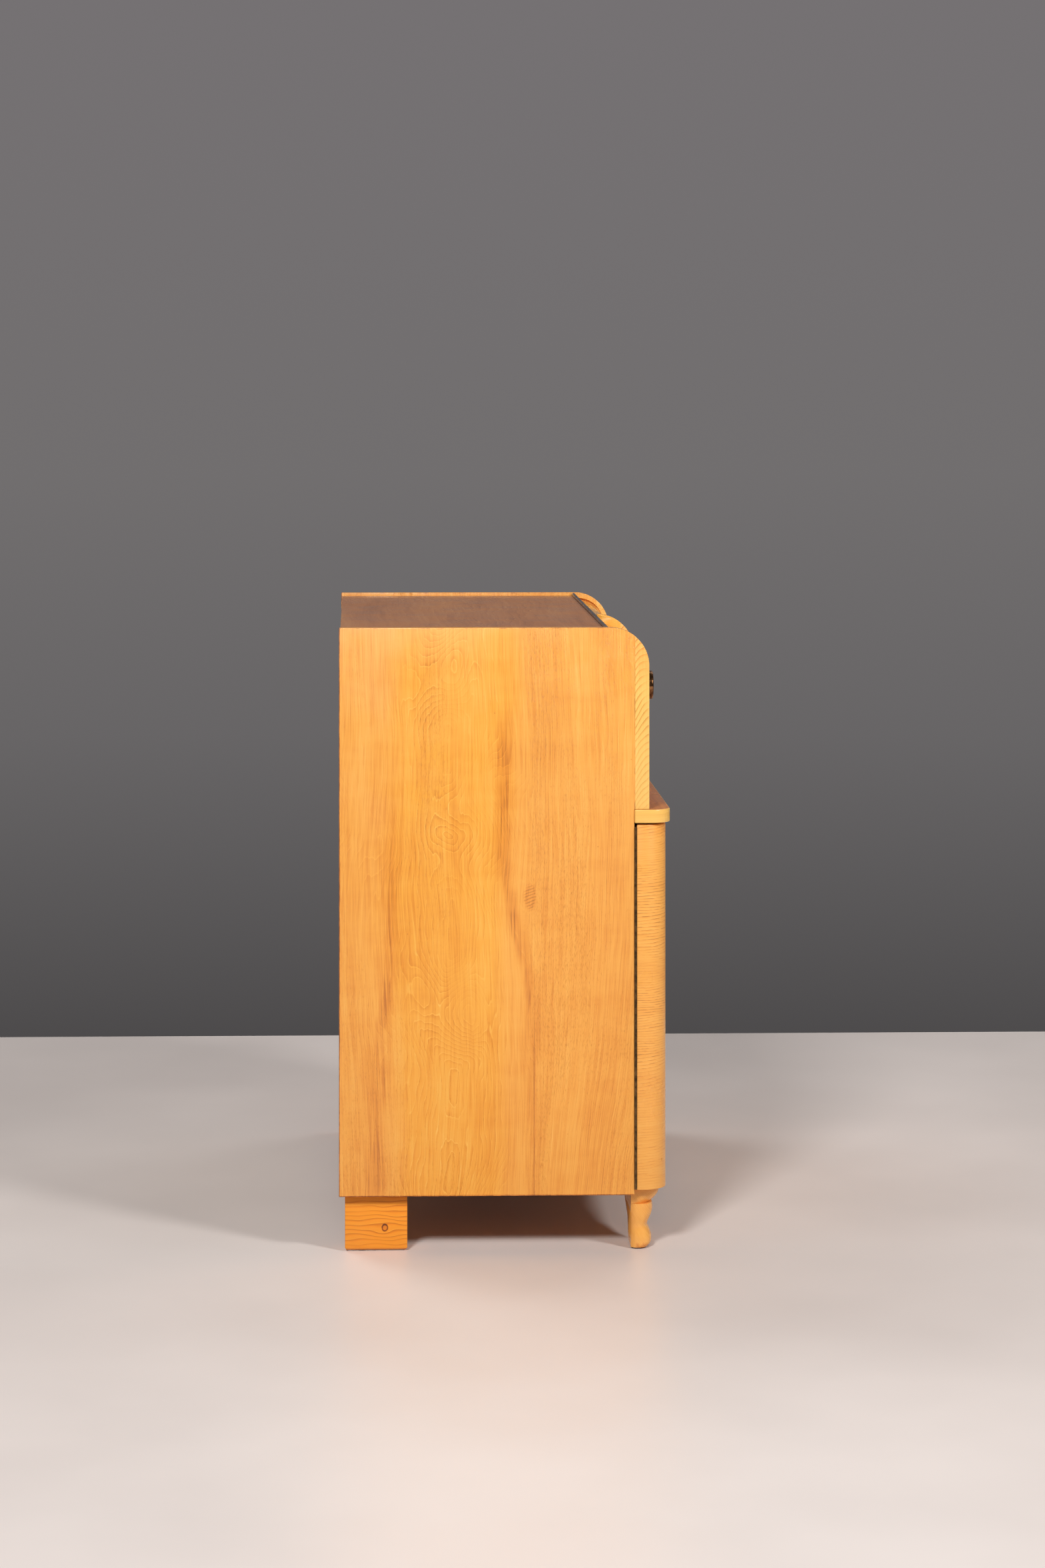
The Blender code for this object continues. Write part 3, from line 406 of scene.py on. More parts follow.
def grain_of(graph, direction, seed):
    """Grain for boards whose fibres run along X, Y or Z, or wrap round the desk's front corners."""
    x, y, z = graph.x, graph.y, graph.z
    if direction == "Z":
        return Grain(graph, z, y, x, seed)
    if direction == "Z_on_front":
        return Grain(graph, z, x, y, seed)
    if direction == "X":
        return Grain(graph, x, z, y, seed)
    if direction == "X_on_top":
        return Grain(graph, x, y, z, seed)
    if direction == "Y":
        return Grain(graph, y, z, x, seed)
    flat = graph.span(abs(graph.upward), 0.6, 0.8)
    across = z * (1.0 - flat) + y * flat
    return Grain(graph, abs(x) + y, across, 0.0, seed)


def wood(name, direction, palette, seed, heart=0.0, wander=0.05, pitch=0.009, rings=0.25, gloss=0.34):
    """A general wood finish."""
    graph = Graph(name)
    grain = grain_of(graph, direction, seed)
    lines, dark = growth_rings(grain, heart, wander, pitch, rings)
    tone = lines + 0.62 + grain.streaks(11.0, 1.4, 0.484) + grain.streaks(70.0, 3.0, 0.22)
    tone = tone + grain.streaks(430.0, 9.0, 0.22, 1.0)
    patch = graph.span(grain.noise(22.0, 3.0), 0.35, 0.7, 0.0875, 0.35)
    return finish_wood(graph, grain, tone, pores(grain, 0.0011, patch + dark * 0.3), palette, gloss)


def brown_streaks(grain, rear):
    """The streak in front of the heart, which leans and fades out, and a weaker one behind it."""
    graph = grain.graph
    z = graph.z
    front = rear - graph.span(z, 0.40, 0.72, 0.343, 0.290)
    fading = graph.span(z, 1.0, 0.88) * graph.span(z, 0.1, 0.5, 0.55, 1.0)
    behind = rear - graph.span(z, 0.11, 0.66, 0.062, 0.093, smooth=False)
    weaker = graph.span(z, 0.84, 0.62) * 0.22
    return shadow_band(grain, front, 0.015, fading * 0.27) + shadow_band(grain, behind, 0.016, weaker)


def panel_wear(grain, box):
    """Scuffs on all edges, and a dark line along the rear and bottom ones."""
    graph = grain.graph
    low, high = box
    worn = edge_nearness(graph, box, 3 * MM) * grain.noise(90.0, 60.0)
    ragged = grain.streaks(240.0, 120.0, 0.0016)
    rear_edge = graph.span(graph.y + ragged, high.y - 0.0022, high.y - 0.001)
    base_edge = graph.span(graph.z + ragged, low.z + 0.0026, low.z + 0.0012)
    return graph.span(worn, 0.35, 0.7) * 0.5 + graph.math("MAXIMUM", rear_edge, base_edge) * 0.38


def side_veneer(name, box, seed):
    """The side panels' flamed veneer: a heart of nested arches, brown streaks and a plain flank."""
    graph = Graph(name)
    grain = grain_of(graph, "Z", seed)
    z, rear = graph.z, box[1].y
    lean = graph.math("MINIMUM", z - 0.55, 0.0) * 0.09
    grain.across = grain.across + lean * graph.span(grain.across, rear - 0.3, rear - 0.42)
    lines, dark = growth_rings(grain, rear - 0.190, 0.070, 0.0095, 0.16)
    flank_lines, _ = ring_lines(grain, grain.across, 0.0036, 0.13, 0.4)
    beside = graph.span(grain.across, rear - 0.32, rear - 0.37, 0.15, 1.0)
    tone = lines + flank_lines * beside + 0.6 + grain.streaks(9.0, 1.6, 0.3)
    tone = tone + grain.streaks(38.0, 2.4, 0.2)
    tone = tone + grain.streaks(170.0, 5.0, 0.24) + grain.streaks(620.0, 12.0, 0.44, 1.0)
    tone = tone + grain.streaks(14.0, 34.0, 0.16)
    tone = tone - brown_streaks(grain, rear)
    patch = graph.span(grain.noise(16.0, 2.4), 0.35, 0.7, 0.25, 0.75)
    pore = pores(grain, 0.00055, patch + dark * 0.35, 0.07)
    pore = graph.math("MAXIMUM", pore, graph.span(graph.noise(graph.scaled(170.0), 0.0), 0.885, 0.90))
    seam_line = abs(graph.y - (rear - 0.3435))
    seam = graph.span(seam_line, 0.0004, 0.0013, 1.0, 0.0) * graph.span(z, 0.46, 0.3)
    tone = tone - seam * 0.22
    tone = tone - ripple_patch(grain, rear - 0.336, 0.626) - panel_wear(grain, box)
    heart = abs(grain.across - (rear - 0.195))
    rosy = graph.span(heart + grain.streaks(12.0, 3.0, 0.1), 0.07, 0.13, 0.15, 0.85)
    # Painted shade: the panel is drawn darker and more orange towards the bottom
    lower_darkening = graph.span(z + grain.streaks(6.0, 4.0, 0.3, 1.0), 1.1, 0.15, 0.2, 0.6)
    return finish_wood(graph, grain, tone, pore, HONEY, 0.33, rosy, lower_darkening)


def ripple_patch(grain, across, height):
    """A small brown patch with cross marks a few millimetres apart, beside the front streak."""
    graph = grain.graph
    sideways = (grain.plain_across - across) * (1 / 0.011)
    upwards = (graph.z - height) * (1 / 0.024)
    share = sideways * sideways + upwards * upwards + grain.streaks(90.0, 60.0, 1.2)
    slant = graph.z + grain.across * 0.35
    mark = graph.math("FRACT", slant * (1 / 0.0055) + grain.streaks(50.0, 50.0, 0.9))
    stripes = graph.span(mark, 0.25, 0.6) * graph.span(mark, 0.6, 0.95, 1.0, 0.0)
    return graph.span(share, 0.2, 1.3, 1.0, 0.0) * graph.span(stripes, 0.0, 1.0, 0.1, 0.3)


def door_veneer(name, seed):
    """Veneer with fine wavy lines that run round the doors' corners, each broken into short marks."""
    graph = Graph(name)
    grain = grain_of(graph, "wrap", seed)
    climb = grain.along * 0.1 + grain.streaks(9.0, 4.0, 0.02)
    lines, dark = ring_lines(grain, grain.across + climb, 0.005, 0.2, 0.55)
    tone = lines + 0.62 + grain.streaks(9.0, 2.0, 0.22) + grain.streaks(60.0, 5.0, 0.2)
    tone = tone + grain.streaks(480.0, 12.0, 0.3, 1.0)
    marks = dark * graph.span(grain.noise(500.0, 70.0, 1.0), 0.42, 0.6)
    tone = tone - marks * 0.22
    patch = graph.span(grain.noise(16.0, 5.0), 0.4, 0.7, 0.15, 0.6)
    # Darker and more orange towards the bottom
    lower_darkening = graph.span(graph.z, 0.8, 0.1, 0.0, 0.3)
    return finish_wood(graph, grain, tone, pores(grain, 0.0006, patch, 0.08), ROSY, 0.30, lower_darkening=lower_darkening)


def ledge_finish(name, seed):
    """Pale moulding with painted shade: its upward faces are drawn darker and rosier."""
    graph = Graph(name)
    grain = grain_of(graph, "wrap", seed)
    lines, _ = growth_rings(grain, 0.1, 0.02, 0.004, 0.2)
    tone = lines + 0.62 + grain.streaks(11.0, 1.4, 0.48) + grain.streaks(70.0, 3.0, 0.22)
    tone = tone + grain.streaks(430.0, 9.0, 0.22, 1.0)
    # Painted shade on the upward faces: a darker tone and the rosy palette
    painted_top_shade = graph.span(graph.upward, 0.80, 0.98)
    tone = tone - painted_top_shade * 0.4
    return finish_wood(graph, grain, tone, pores(grain, 0.0008, 0.3), PALE, 0.26, rosy=painted_top_shade)


def turned_beech(name, seed):
    """Glossy beech with fine leaning rays and a worn brown toe."""
    graph = Graph(name)
    grain = grain_of(graph, "Z_on_front", seed)
    side = graph.x * 0.3 + graph.y
    slant = side - graph.z * 0.62
    lines, _ = ring_lines(grain, slant, 0.0032, 0.13, 0.4)
    fine = graph.noise(graph.vector(slant * 900.0, 0.0, graph.z * 60.0), 1.0)
    tone = lines + 0.62 + (fine - 0.5) * 0.3 + grain.streaks(30.0, 12.0, 0.25)
    low = graph.z + grain.streaks(160.0, 90.0, 0.014)
    toe = graph.span(low, 0.012, 0.004) * graph.span(graph.y, depth_y(0.52), depth_y(0.53))
    tone = tone - toe * 0.3
    return finish_wood(graph, grain, tone, pores(grain, 0.0006, 0.3), ROSY, 0.20)


def lipping_wood(name, seed):
    """Pale solid wood whose dark ring lines cross the narrow strip in leaning arcs."""
    graph = Graph(name)
    grain = grain_of(graph, "Z", seed)
    side = grain.plain_across - depth_y(0.547)
    opening = graph.span(graph.z, 0.82, 1.06, 0.9, 0.1, smooth=False)
    arch = side * opening + side * side * 22.0
    radius = grain.along + arch + graph.x * 0.4
    radius = radius + grain.streaks(14.0, 7.0, 0.04)
    lines, dark = ring_lines(grain, radius, 0.0125, 0.10, 0.22)
    shown = graph.span(grain.noise(20.0, 5.0), 0.38, 0.60, 0.25, 1.0)
    dark = dark * (shown * graph.span(side, 0.4 * MM, 3 * MM, 0.25, 1.0))
    tone = lines + 0.72 + grain.streaks(430.0, 9.0, 0.2, 1.0) - dark * 0.34
    tone = tone + grain.streaks(60.0, 4.0, 0.16)
    pore = pores(grain, 0.0007, dark * 0.4 + 0.12)
    warmer = graph.z + grain.streaks(40.0, 14.0, 0.12)
    return finish_wood(graph, grain, tone, pore, PALE, 0.33, rosy=graph.span(warmer, 0.96, 1.06, 0.12, 0.75))


def knotted_pine(name, box, seed):
    """Orange pine with wavy rings along the foot that part round a dark-rimmed knot."""
    graph = Graph(name)
    grain = grain_of(graph, "Y", seed)
    low, high = box
    knot_y, knot_z = high.y - 0.64 * (high.y - low.y), low.z + 0.415 * (high.z - low.z)
    sideways, upwards = graph.y - knot_y, graph.z - knot_z
    wide, tall = sideways * (1 / 0.024), upwards * (1 / 0.016)
    near = graph.math("EXPONENT", (wide * wide + tall * tall) * -1.0)
    parted = upwards * (1.0 - near * 0.75)
    wave = graph.sway(graph.vector(graph.y * 16.0, seed, parted * 30.0), 0.016)
    radius = parted + wave + graph.x * 0.3 + (1.0 + seed)
    lines, dark = ring_lines(grain, radius, 0.0085, 0.14, 0.2)
    tone = lines + 0.7 + grain.streaks(430.0, 9.0, 0.14, 1.0) - dark * 0.26
    reach = graph.distance(sideways * 1.15, upwards) + grain.streaks(300.0, 260.0, 0.0016)
    rim = graph.span(reach, 0.0034, 0.0054) * graph.span(reach, 0.006, 0.0078, 1.0, 0.0)
    core = graph.span(reach, 0.004, 0.006, 1.0, 0.0)
    tone = tone - (rim * 0.6 + core * 0.25)
    return finish_wood(graph, grain, tone, pores(grain, 0.0009, 0.12), PINE, 0.40)


# ---- Metal and cloth ----


def metal(name, bright, dull, gloss):
    """Handled metal: tarnish in patches, and a little pitting."""
    graph = Graph(name)
    spots = graph.scaled(90.0)
    tarnish = graph.span(graph.noise(spots, 4.0, 0.6), 0.35, 0.68)
    color = graph.mix(tarnish, bright, dull)
    graph.set(Base_Color=color, Metallic=1.0, Roughness=graph.span(tarnish, 0.0, 1.0, gloss, gloss + 0.22))
    graph.bump(graph.noise(spots, 6.0, 0.7), 0.00012)
    return graph.material


def canvas_cloth(name):
    """Plain weave glued behind the slats."""
    graph = Graph(name)
    threads = []
    for vector in (graph.place, graph.vector(graph.y, graph.x, graph.z)):
        wave = graph.node("TexWave", {"wave_profile": "SIN"}, {"Vector": vector, "Scale": 320.0})
        threads.append(wave.outputs["Fac"])
    weave = graph.math("MAXIMUM", *threads)
    stain = graph.span(graph.noise(graph.scaled(12.0), 3.0), 0.2, 0.8, 0.7, 1.0)
    color = graph.ramp(weave * stain, [(0.2, (0.20, 0.16, 0.10)), (1.0, (0.52, 0.45, 0.33))])
    graph.set(Base_Color=color, Roughness=graph.span(weave, 0.0, 1.0, 0.95, 0.8))
    graph.bump(weave, 0.0004)
    return graph.material


# ---- Mesh tools ----


def arc(centre, radius, start, end, steps):
    """Points on an arc, in degrees anticlockwise from the first coordinate's direction."""
    points = []
    for index in range(steps + 1):
        angle = math.radians(start + (end - start) * index / steps)
        points.append((centre[0] + radius * math.cos(angle), centre[1] + radius * math.sin(angle)))
    return points


def curve_point(t, before, first, second, after):
    """A coordinate on a Catmull-Rom curve, `t` of the way from first to second."""
    slope = (second - before) * t
    bend = (2 * before - 5 * first + 4 * second - after) * t**2
    twist = (3 * first - before - 3 * second + after) * t**3
    return 0.5 * (2 * first + slope + bend + twist)


def smooth_curve(points, steps):
    """Points on a smooth curve through the given ones."""
    padded = [points[0], *points, points[-1]]
    made = []
    for before, first, second, after in zip(padded, padded[1:], padded[2:], padded[3:]):
        for step in range(steps):
            t = step / steps
            made.append(tuple(curve_point(t, *row) for row in zip(before, first, second, after)))
    return made + [tuple(points[-1])]


def extrude(edit, points, shift):
    """Fill a closed outline of 3-D points and extrude it."""
    face = edit.faces.new([edit.verts.new(point) for point in points])
    grown = bmesh.ops.extrude_face_region(edit, geom=[face])["geom"]
    moved = [item for item in grown if isinstance(item, bmesh.types.BMVert)]
    bmesh.ops.translate(edit, verts=moved, vec=Vector(shift))


def extrude_side(edit, outline, x_span):
    """An outline in depth and height, extruded across the desk."""
    extrude(edit, [(x_span[0], depth_y(d), z) for d, z in outline], (x_span[1] - x_span[0], 0, 0))


def extrude_plan(edit, outline, z_span):
    """An outline in x and depth, extruded upwards."""
    extrude(edit, [(x, depth_y(d), z_span[0]) for x, d in outline], (0, 0, z_span[1] - z_span[0]))


def ease_edges(edit, width, segments=2, sharper_than=40, seam=None):
    """Round every edge that turns by more than `sharper_than` degrees, but none at the seam's depth."""
    bmesh.ops.recalc_face_normals(edit, faces=edit.faces)
    limit = math.radians(sharper_than)
    sharp = [edge for edge in edit.edges if edge.is_manifold and edge.calc_face_angle() > limit]
    if seam:
        seam_y = depth_y(seam)
        sharp = [edge for edge in sharp if max(abs(vert.co.y - seam_y) for vert in edge.verts) > 0.1 * MM]
    bmesh.ops.bevel(edit, geom=sharp, offset=width, segments=segments, profile=0.5, affect="EDGES")


def turn_profile(edit, profile, foot, segments):
    """Turn a profile of radius and reach about the line that runs forward from `foot`."""
    foot = Vector(foot)
    verts = [edit.verts.new(foot + Vector((radius, -reach, 0))) for radius, reach in profile]
    edges = [edit.edges.new(pair) for pair in zip(verts, verts[1:])]
    turn = {"cent": foot, "axis": (0, 1, 0), "angle": math.tau, "steps": segments, "use_merge": True}
    bmesh.ops.spin(edit, geom=verts + edges, **turn)
    bmesh.ops.remove_doubles(edit, verts=edit.verts, dist=0.005 * MM)


def join_rings(edit, rings):
    """Faces between neighbouring rings of vertices that all have the same count."""
    for lower, upper in zip(rings, rings[1:]):
        for index in range(len(lower)):
            after = (index + 1) % len(lower)
            edit.faces.new((lower[index], lower[after], upper[after], upper[index]))


def loft(edit, rings):
    """A closed solid through rings of 3-D points that all have the same count."""
    loops = [[edit.verts.new(point) for point in ring] for ring in rings]
    join_rings(edit, loops)
    edit.faces.new(loops[0][::-1])
    edit.faces.new(loops[-1])


def finished_mesh(name, edit):
    mesh = bpy.data.meshes.new(name)
    edit.to_mesh(mesh)
    edit.free()
    return mesh


def placed(name, data):
    """A new object in the scene."""
    made = bpy.data.objects.new(name, data)
    bpy.context.collection.objects.link(made)
    return made


def piece(name, edit, material, body, slot, *replaced, crease=32):
    """Finish a bmesh, drawn in its place at rest, as a shown piece that rides on a body."""
    bmesh.ops.recalc_face_normals(edit, faces=edit.faces)
    mesh = finished_mesh(name, edit)
    mesh.shade_smooth()
    mesh.set_sharp_from_angle(angle=math.radians(crease))
    mesh.materials.append(material)
    made = placed(name, mesh)
    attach(made, body)
    if replaced:
        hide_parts(*replaced)
    return made


def carve(target, cutter_edit):
    """Cut a bmesh out of a piece, and keep the result as the piece's own mesh."""
    bmesh.ops.recalc_face_normals(cutter_edit, faces=cutter_edit.faces)
    cutter = placed("cutter", finished_mesh("cutter", cutter_edit))
    modifier = target.modifiers.new("Cut", "BOOLEAN")
    modifier.object = cutter
    graph = bpy.context.evaluated_depsgraph_get()
    carved = bpy.data.meshes.new_from_object(target.evaluated_get(graph))
    target.modifiers.clear()
    target.data = carved
    bpy.data.objects.remove(cutter)


def slotted_head(edit, foot, outward, across, radius, height):
    """A screw head as two half discs with the driver's slot between them."""
    outward, across = Vector(outward), Vector(across)
    along = outward.cross(across)
    slot = 0.14 * radius
    for side in (-1, 1):
        outline = []
        for index in range(9):
            angle = math.pi * index / 8
            offset = side * (slot + (radius - slot) * math.sin(angle))
            outline.append(Vector(foot) + along * radius * math.cos(angle) + across * offset)
        extrude(edit, outline, outward * height)


# ---- Case pieces ----


def roll_sizes():
    """Centre depth, centre height and radius of the rounded corner over the bays."""
    low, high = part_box("left_bay_cover")
    radius = high.z - low.z
    return REAR_Y - low.y - radius, low.z, radius


def roll_groove(face, side):
    """A cutter for the roll front's track in an upright board; `side` is +1 if its bay is on +X."""
    depth, height, radius = roll_sizes()
    rear = BOARD
    inner_radius, outer_radius = radius - ROLL_SLAT - 1 * MM, radius + 2.5 * MM
    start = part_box("ledge")[1].z + 0.7 * MM
    inner = [(depth + inner_radius, start)] + arc((depth, height), inner_radius, 0, 90, 20)
    inner.append((rear, height + inner_radius))
    outer = [(rear, height + 3.5 * MM + outer_radius)]
    outer += arc((depth, height + 3.5 * MM), outer_radius, 90, 0, 20) + [(depth + outer_radius, start)]
    cutter = bmesh.new()
    extrude_side(cutter, inner + outer, sorted((face + side * 5 * MM, face - side * ROLL_GROOVE)))
    return cutter


def top_corner(start, end):
    """Part of the rounded top front corner of the upright boards."""
    front, top = REAR_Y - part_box("left_side_lipping")[0].y, SIDE[1].z
    return arc((front - TOP_CORNER, top - TOP_CORNER), TOP_CORNER, start, end, 20)


def upright_outlines(seam, panel_seam):
    """A side panel, the upper divider and the lipping in front of them, in depth and height."""
    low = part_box("left_side_lipping")[0]
    front, lipping_base = REAR_Y - low.y, low.z
    lipping_start = math.degrees(math.acos((seam - front + TOP_CORNER) / TOP_CORNER))
    lipping = [(seam, lipping_base), (front, lipping_base)] + top_corner(0, lipping_start)

    base, top = SIDE[0].z, SIDE[1].z
    lower_front = REAR_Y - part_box("desk_plate")[0].y + GAP
    panel_start = math.degrees(math.acos((panel_seam - front + TOP_CORNER) / TOP_CORNER))
    panel = [(0, base), (lower_front, base), (lower_front, lipping_base), (panel_seam, lipping_base)]
    panel += top_corner(panel_start, 90) + [(0, top)]

    rear = REAR_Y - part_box("upper_divider")[1].y
    step_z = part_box("top_board")[0].z - 1.6 * MM
    step_depth = REAR_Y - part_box("top_bead")[0].y + GAP
    divider = [(rear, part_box("ledge")[1].z), (panel_seam, lipping_base)] + top_corner(panel_start, 90)
    divider += [(step_depth, top), (step_depth, step_z), (rear, step_z)]
    return panel, divider, lipping


def uprights(materials):
    """Side panels, upper divider and their solid lippings, with smooth top corners."""
    seam = REAR_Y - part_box("left_side_lipping")[1].y
    panel_seam = seam - 0.05 * MM
    panel, divider, lipping = upright_outlines(seam, panel_seam)
    for name, outline, groove, slot in (
        ("left_side_panel", panel, 0, "side_veneer"),
        ("right_side_panel", panel, -1, "side_veneer"),
        ("upper_divider", divider, 1, "side_veneer"),
        ("left_side_lipping", lipping, 0, "solid_lipping"),
        ("right_side_lipping", lipping, -1, "solid_lipping"),
        ("upper_divider_lipping", lipping, 1, "solid_lipping"),
    ):
        low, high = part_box(name)
        edit = bmesh.new()
        extrude_side(edit, outline, (low.x, high.x))
        ease_edges(edit, 0.9 * MM, seam=seam if "lipping" in name else panel_seam)
        board = piece(name + "_board", edit, materials[name], "case", slot, name)
        if groove:
            carve(board, roll_groove(high.x if groove > 0 else low.x, groove))


def ledge(material):
    """The moulding over the doors, rounded at both front corners."""
    low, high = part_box("ledge")
    rear, front = REAR_Y - high.y, REAR_Y - low.y
    left = (low.x + LEDGE_CORNER, front - LEDGE_CORNER)
    right = (high.x - LEDGE_CORNER, front - LEDGE_CORNER)
    edit = bmesh.new()
    outline = [(high.x, rear)] + arc(right, LEDGE_CORNER, 0, 90, 24)
    outline += arc(left, LEDGE_CORNER, 90, 180, 24) + [(low.x, rear)]
    extrude_plan(edit, outline, (low.z, high.z))
    ease_edges(edit, 2.2 * MM, 3)
    piece("ledge_moulding", edit, material, "case", "ledge_wood", "ledge")


def bead(material):
    """A half-round strip at the front of the top board."""
    low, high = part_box("top_bead")
    radius = (high.y - low.y) / 2
    edit = bmesh.new()
    outline = [(REAR_Y - high.y, low.z), (REAR_Y - low.y, low.z)]
    outline += arc((REAR_Y - high.y + radius, high.z - radius), radius, 0, 180, 18)
    extrude_side(edit, outline, (low.x, high.x))
    piece("top_bead_strip", edit, material, "case", "bead_wood", "top_bead")


def bay_cover(material):
    """The fixed quarter round over the left bay."""
    depth, height, radius = roll_sizes()
    low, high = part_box("left_bay_cover")
    rear = REAR_Y - high.y
    edit = bmesh.new()
    outline = arc((depth, height), radius, 0, 90, 32)
    outline += [(rear, height + radius), (rear, height + radius - ROLL_SLAT)]
    outline += arc((depth, height), radius - ROLL_SLAT, 90, 0, 32)
    extrude_side(edit, outline, (low.x, high.x))
    ease_edges(edit, 0.6 * MM)
    piece("left_bay_quarter_round", edit, material, "case", "front_veneer", "left_bay_cover")


# ---- Roll front ----


def slat_profile(path, count):
    """Outer outline of a run of slats with rounded edges; `path` places a share of the run."""
    points = []
    for index in range(count):
        for step in range(11):
            share = step / 10
            drop = 1.6 * MM * abs(2 * share - 1) ** 7 + 0.5 * MM * (2 * share - 1) ** 2
            points.append(path((index + 0.015 + 0.97 * share) / count, drop))
        points.append(path((index + 1) / count, 2.6 * MM))
    return points


def tambour(material):
    """The roll front: slats standing in the opening, and slats lying round the corner and behind it."""
    depth, height, radius = roll_sizes()
    low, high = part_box("tambour_front_slats")
    edit = bmesh.new()
    front = slat_profile(lambda share, drop: (depth + radius - drop, low.z + (high.z - low.z) * share), 10)
    inner = depth + radius - ROLL_SLAT
    extrude_side(edit, front[:-1] + [(inner, high.z), (inner, low.z)], (low.x, high.x))
    node = "tambour_front_slats"
    slats = piece("tambour_upright_slats", edit, material, "case", "slat_wood", node, crease=50)
    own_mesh(slats)

    low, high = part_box("tambour_rear_slats")
    stored = REAR_Y - high.y

    def corner(share, drop):
        angle = math.pi / 2 * share
        return depth + (radius - drop) * math.cos(angle), height + (radius - drop) * math.sin(angle)

    def level(share, drop):
        return depth - (depth - stored) * share, height + radius - drop

    edit = bmesh.new()
    outline = slat_profile(corner, 4) + slat_profile(level, 12)[:-1]
    outline += [(stored, height + radius - ROLL_SLAT)] + arc((depth, height), radius - ROLL_SLAT, 90, 0, 24)
    extrude_side(edit, outline, (low.x, high.x))
    piece("tambour_stored_slats", edit, material, "case", "slat_wood", "tambour_rear_slats", crease=50)


# ---- Doors and hinges ----


def rounded_doors(materials):
    """The outer doors: a board whose hinged side turns back to the case in a quarter round."""
    for word, side in (("left", -1), ("right", 1)):
        name = word + "_door"
        low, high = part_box(name)
        hinged, free = (high.x, low.x) if side > 0 else (-low.x, -high.x)
        face, back = REAR_Y - low.y, REAR_Y - high.y
        centre = (hinged - DOOR_CORNER, face - DOOR_CORNER)
        outline = [(hinged, back)] + arc(centre, DOOR_CORNER, 0, 90, 32)
        outline += [(free, face), (free, face - DOOR_BOARD)]
        outline += arc(centre, DOOR_CORNER - DOOR_BOARD, 90, 0, 20) + [(hinged - DOOR_BOARD, back)]
        edit = bmesh.new()
        extrude_plan(edit, [(side * x, depth) for x, depth in outline], (low.z, high.z))
        ease_edges(edit, 1.3 * MM)
        door = piece(name + "_leaf", edit, materials[name], name, "door_veneer", name)
        hole = Vector(JOINTS[word + "_key_turn"]["pos_m"]) + Vector((0, 5 * MM + DOOR_BOARD, 0))
        cutter = bmesh.new()
        turn_profile(cutter, [(0, 0), (3.2 * MM, 0), (3.2 * MM, 40 * MM), (0, 40 * MM)], hole, 20)
        carve(door, cutter)


def knuckle(edit, place, low, high):
    """A hollow barrel with rounded ends, from `low` to `high` along the pin."""
    rounded = HINGE_BARREL - 0.3 * MM
    profile = [(HINGE_BORE, low), (rounded, low), (HINGE_BARREL, low + 0.4 * MM)]
    profile += [(HINGE_BARREL, high - 0.4 * MM), (rounded, high), (HINGE_BORE, high)]
    rings = []
    for radius, z in profile:
        circle = arc((0, 0), radius, 0, 360, 18)[:-1]
        rings.append([edit.verts.new(place @ Vector((x, y, z))) for x, y in circle])
    join_rings(edit, rings + rings[:1])


def hinge_leaf(edit, place, length, offset, own, width):
    """A leaf beside its axis, its knuckles and its screws. Local X runs into the wood, Z along the pin."""
    count = round(length / HINGE_PITCH)
    pitch = length / count
    side = math.copysign(1, offset)
    wall = (HINGE_BARREL + HINGE_BORE) / 2
    tab = math.sqrt(wall**2 - offset**2) if abs(offset) < wall else 0
    edge = []
    for index in range(count):
        own_turn = index % 2 == own
        reach = tab if own_turn else HINGE_BARREL + 0.4 * MM
        margin = 0.15 * MM if own_turn else -0.15 * MM
        low = 0 if index == 0 else index * pitch + margin
        high = length if index == count - 1 else (index + 1) * pitch - margin
        edge += [(reach, low), (reach, high)]
    outline = edge + [(width, length), (width, 0)]
    turn = place.to_3x3()
    corners = [place @ Vector((x, offset, z)) for x, z in outline]
    extrude(edit, corners, turn @ Vector((0, side * HINGE_LEAF, 0)))
    for index in range(own, count, 2):
        knuckle(edit, place, index * pitch + 0.15 * MM, (index + 1) * pitch - 0.15 * MM)
    for index in range(1, count // 4 + 1):
        foot = place @ Vector((0.55 * width, offset, (4 * index - 2.5) * pitch))
        slotted_head(edit, foot, turn @ Vector((0, -side, 0)), turn @ Vector((1, 0, 0)), 2.4 * MM, 0.25 * MM)


def hinges(material):
    """Piano hinges on the three doors and under the flap; each leaf rides with its own side."""
    half, quarter = Matrix.Rotation(math.pi, 4, "Z"), Matrix.Rotation(math.pi / 2, 4, "Z")
    lying = Matrix(((0, 0, 1), (1, 0, 0), (0, 1, 0))).to_4x4()
    upright = {"left": (Matrix(), 1), "right": (half, -1), "middle": (quarter, 1)}
    for word, (turn, case_side) in upright.items():
        low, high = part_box(word + "_hinge_pin")
        place = Matrix.Translation(((low.x + high.x) / 2, (low.y + high.y) / 2, low.z)) @ turn
        offset = 0.4 * MM if word == "middle" else 1.2 * MM
        hinge_pair(material, place, high.z - low.z, word, case_side, offset)
    low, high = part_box("flap_hinge_pin")
    place = Matrix.Translation((low.x, (low.y + high.y) / 2, (low.z + high.z) / 2)) @ lying
    names = {1: ("flap_hinge_flap_leaf", "flap"), -1: ("flap_hinge_desk_leaf", "case")}
    for side, (name, body) in names.items():
        edit = bmesh.new()
        hinge_leaf(edit, place, high.x - low.x, side * 1.2 * MM, 0 if side > 0 else 1, 20 * MM)
        piece(name + "_strip", edit, material, body, "hinge_brass", name)


def hinge_pair(material, place, length, word, case_side, offset):
    for side in (1, -1):
        on_case = side == case_side
        name = word + ("_hinge_case_leaf" if on_case else "_hinge_door_leaf")
        edit = bmesh.new()
        hinge_leaf(edit, place, length, side * offset, 0 if side > 0 else 1, 18 * MM)
        piece(name + "_strip", edit, material, "case" if on_case else word + "_door", "hinge_brass", name)


# ---- Pulls, keys and small fittings ----


def pull_sizes(node):
    """Radius, reach and foot of a round pull that stands out to the front."""
    low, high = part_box(node)
    foot = ((low.x + high.x) / 2, high.y, (low.z + high.z) / 2)
    return (high.x - low.x) / 2, high.y - low.y, foot


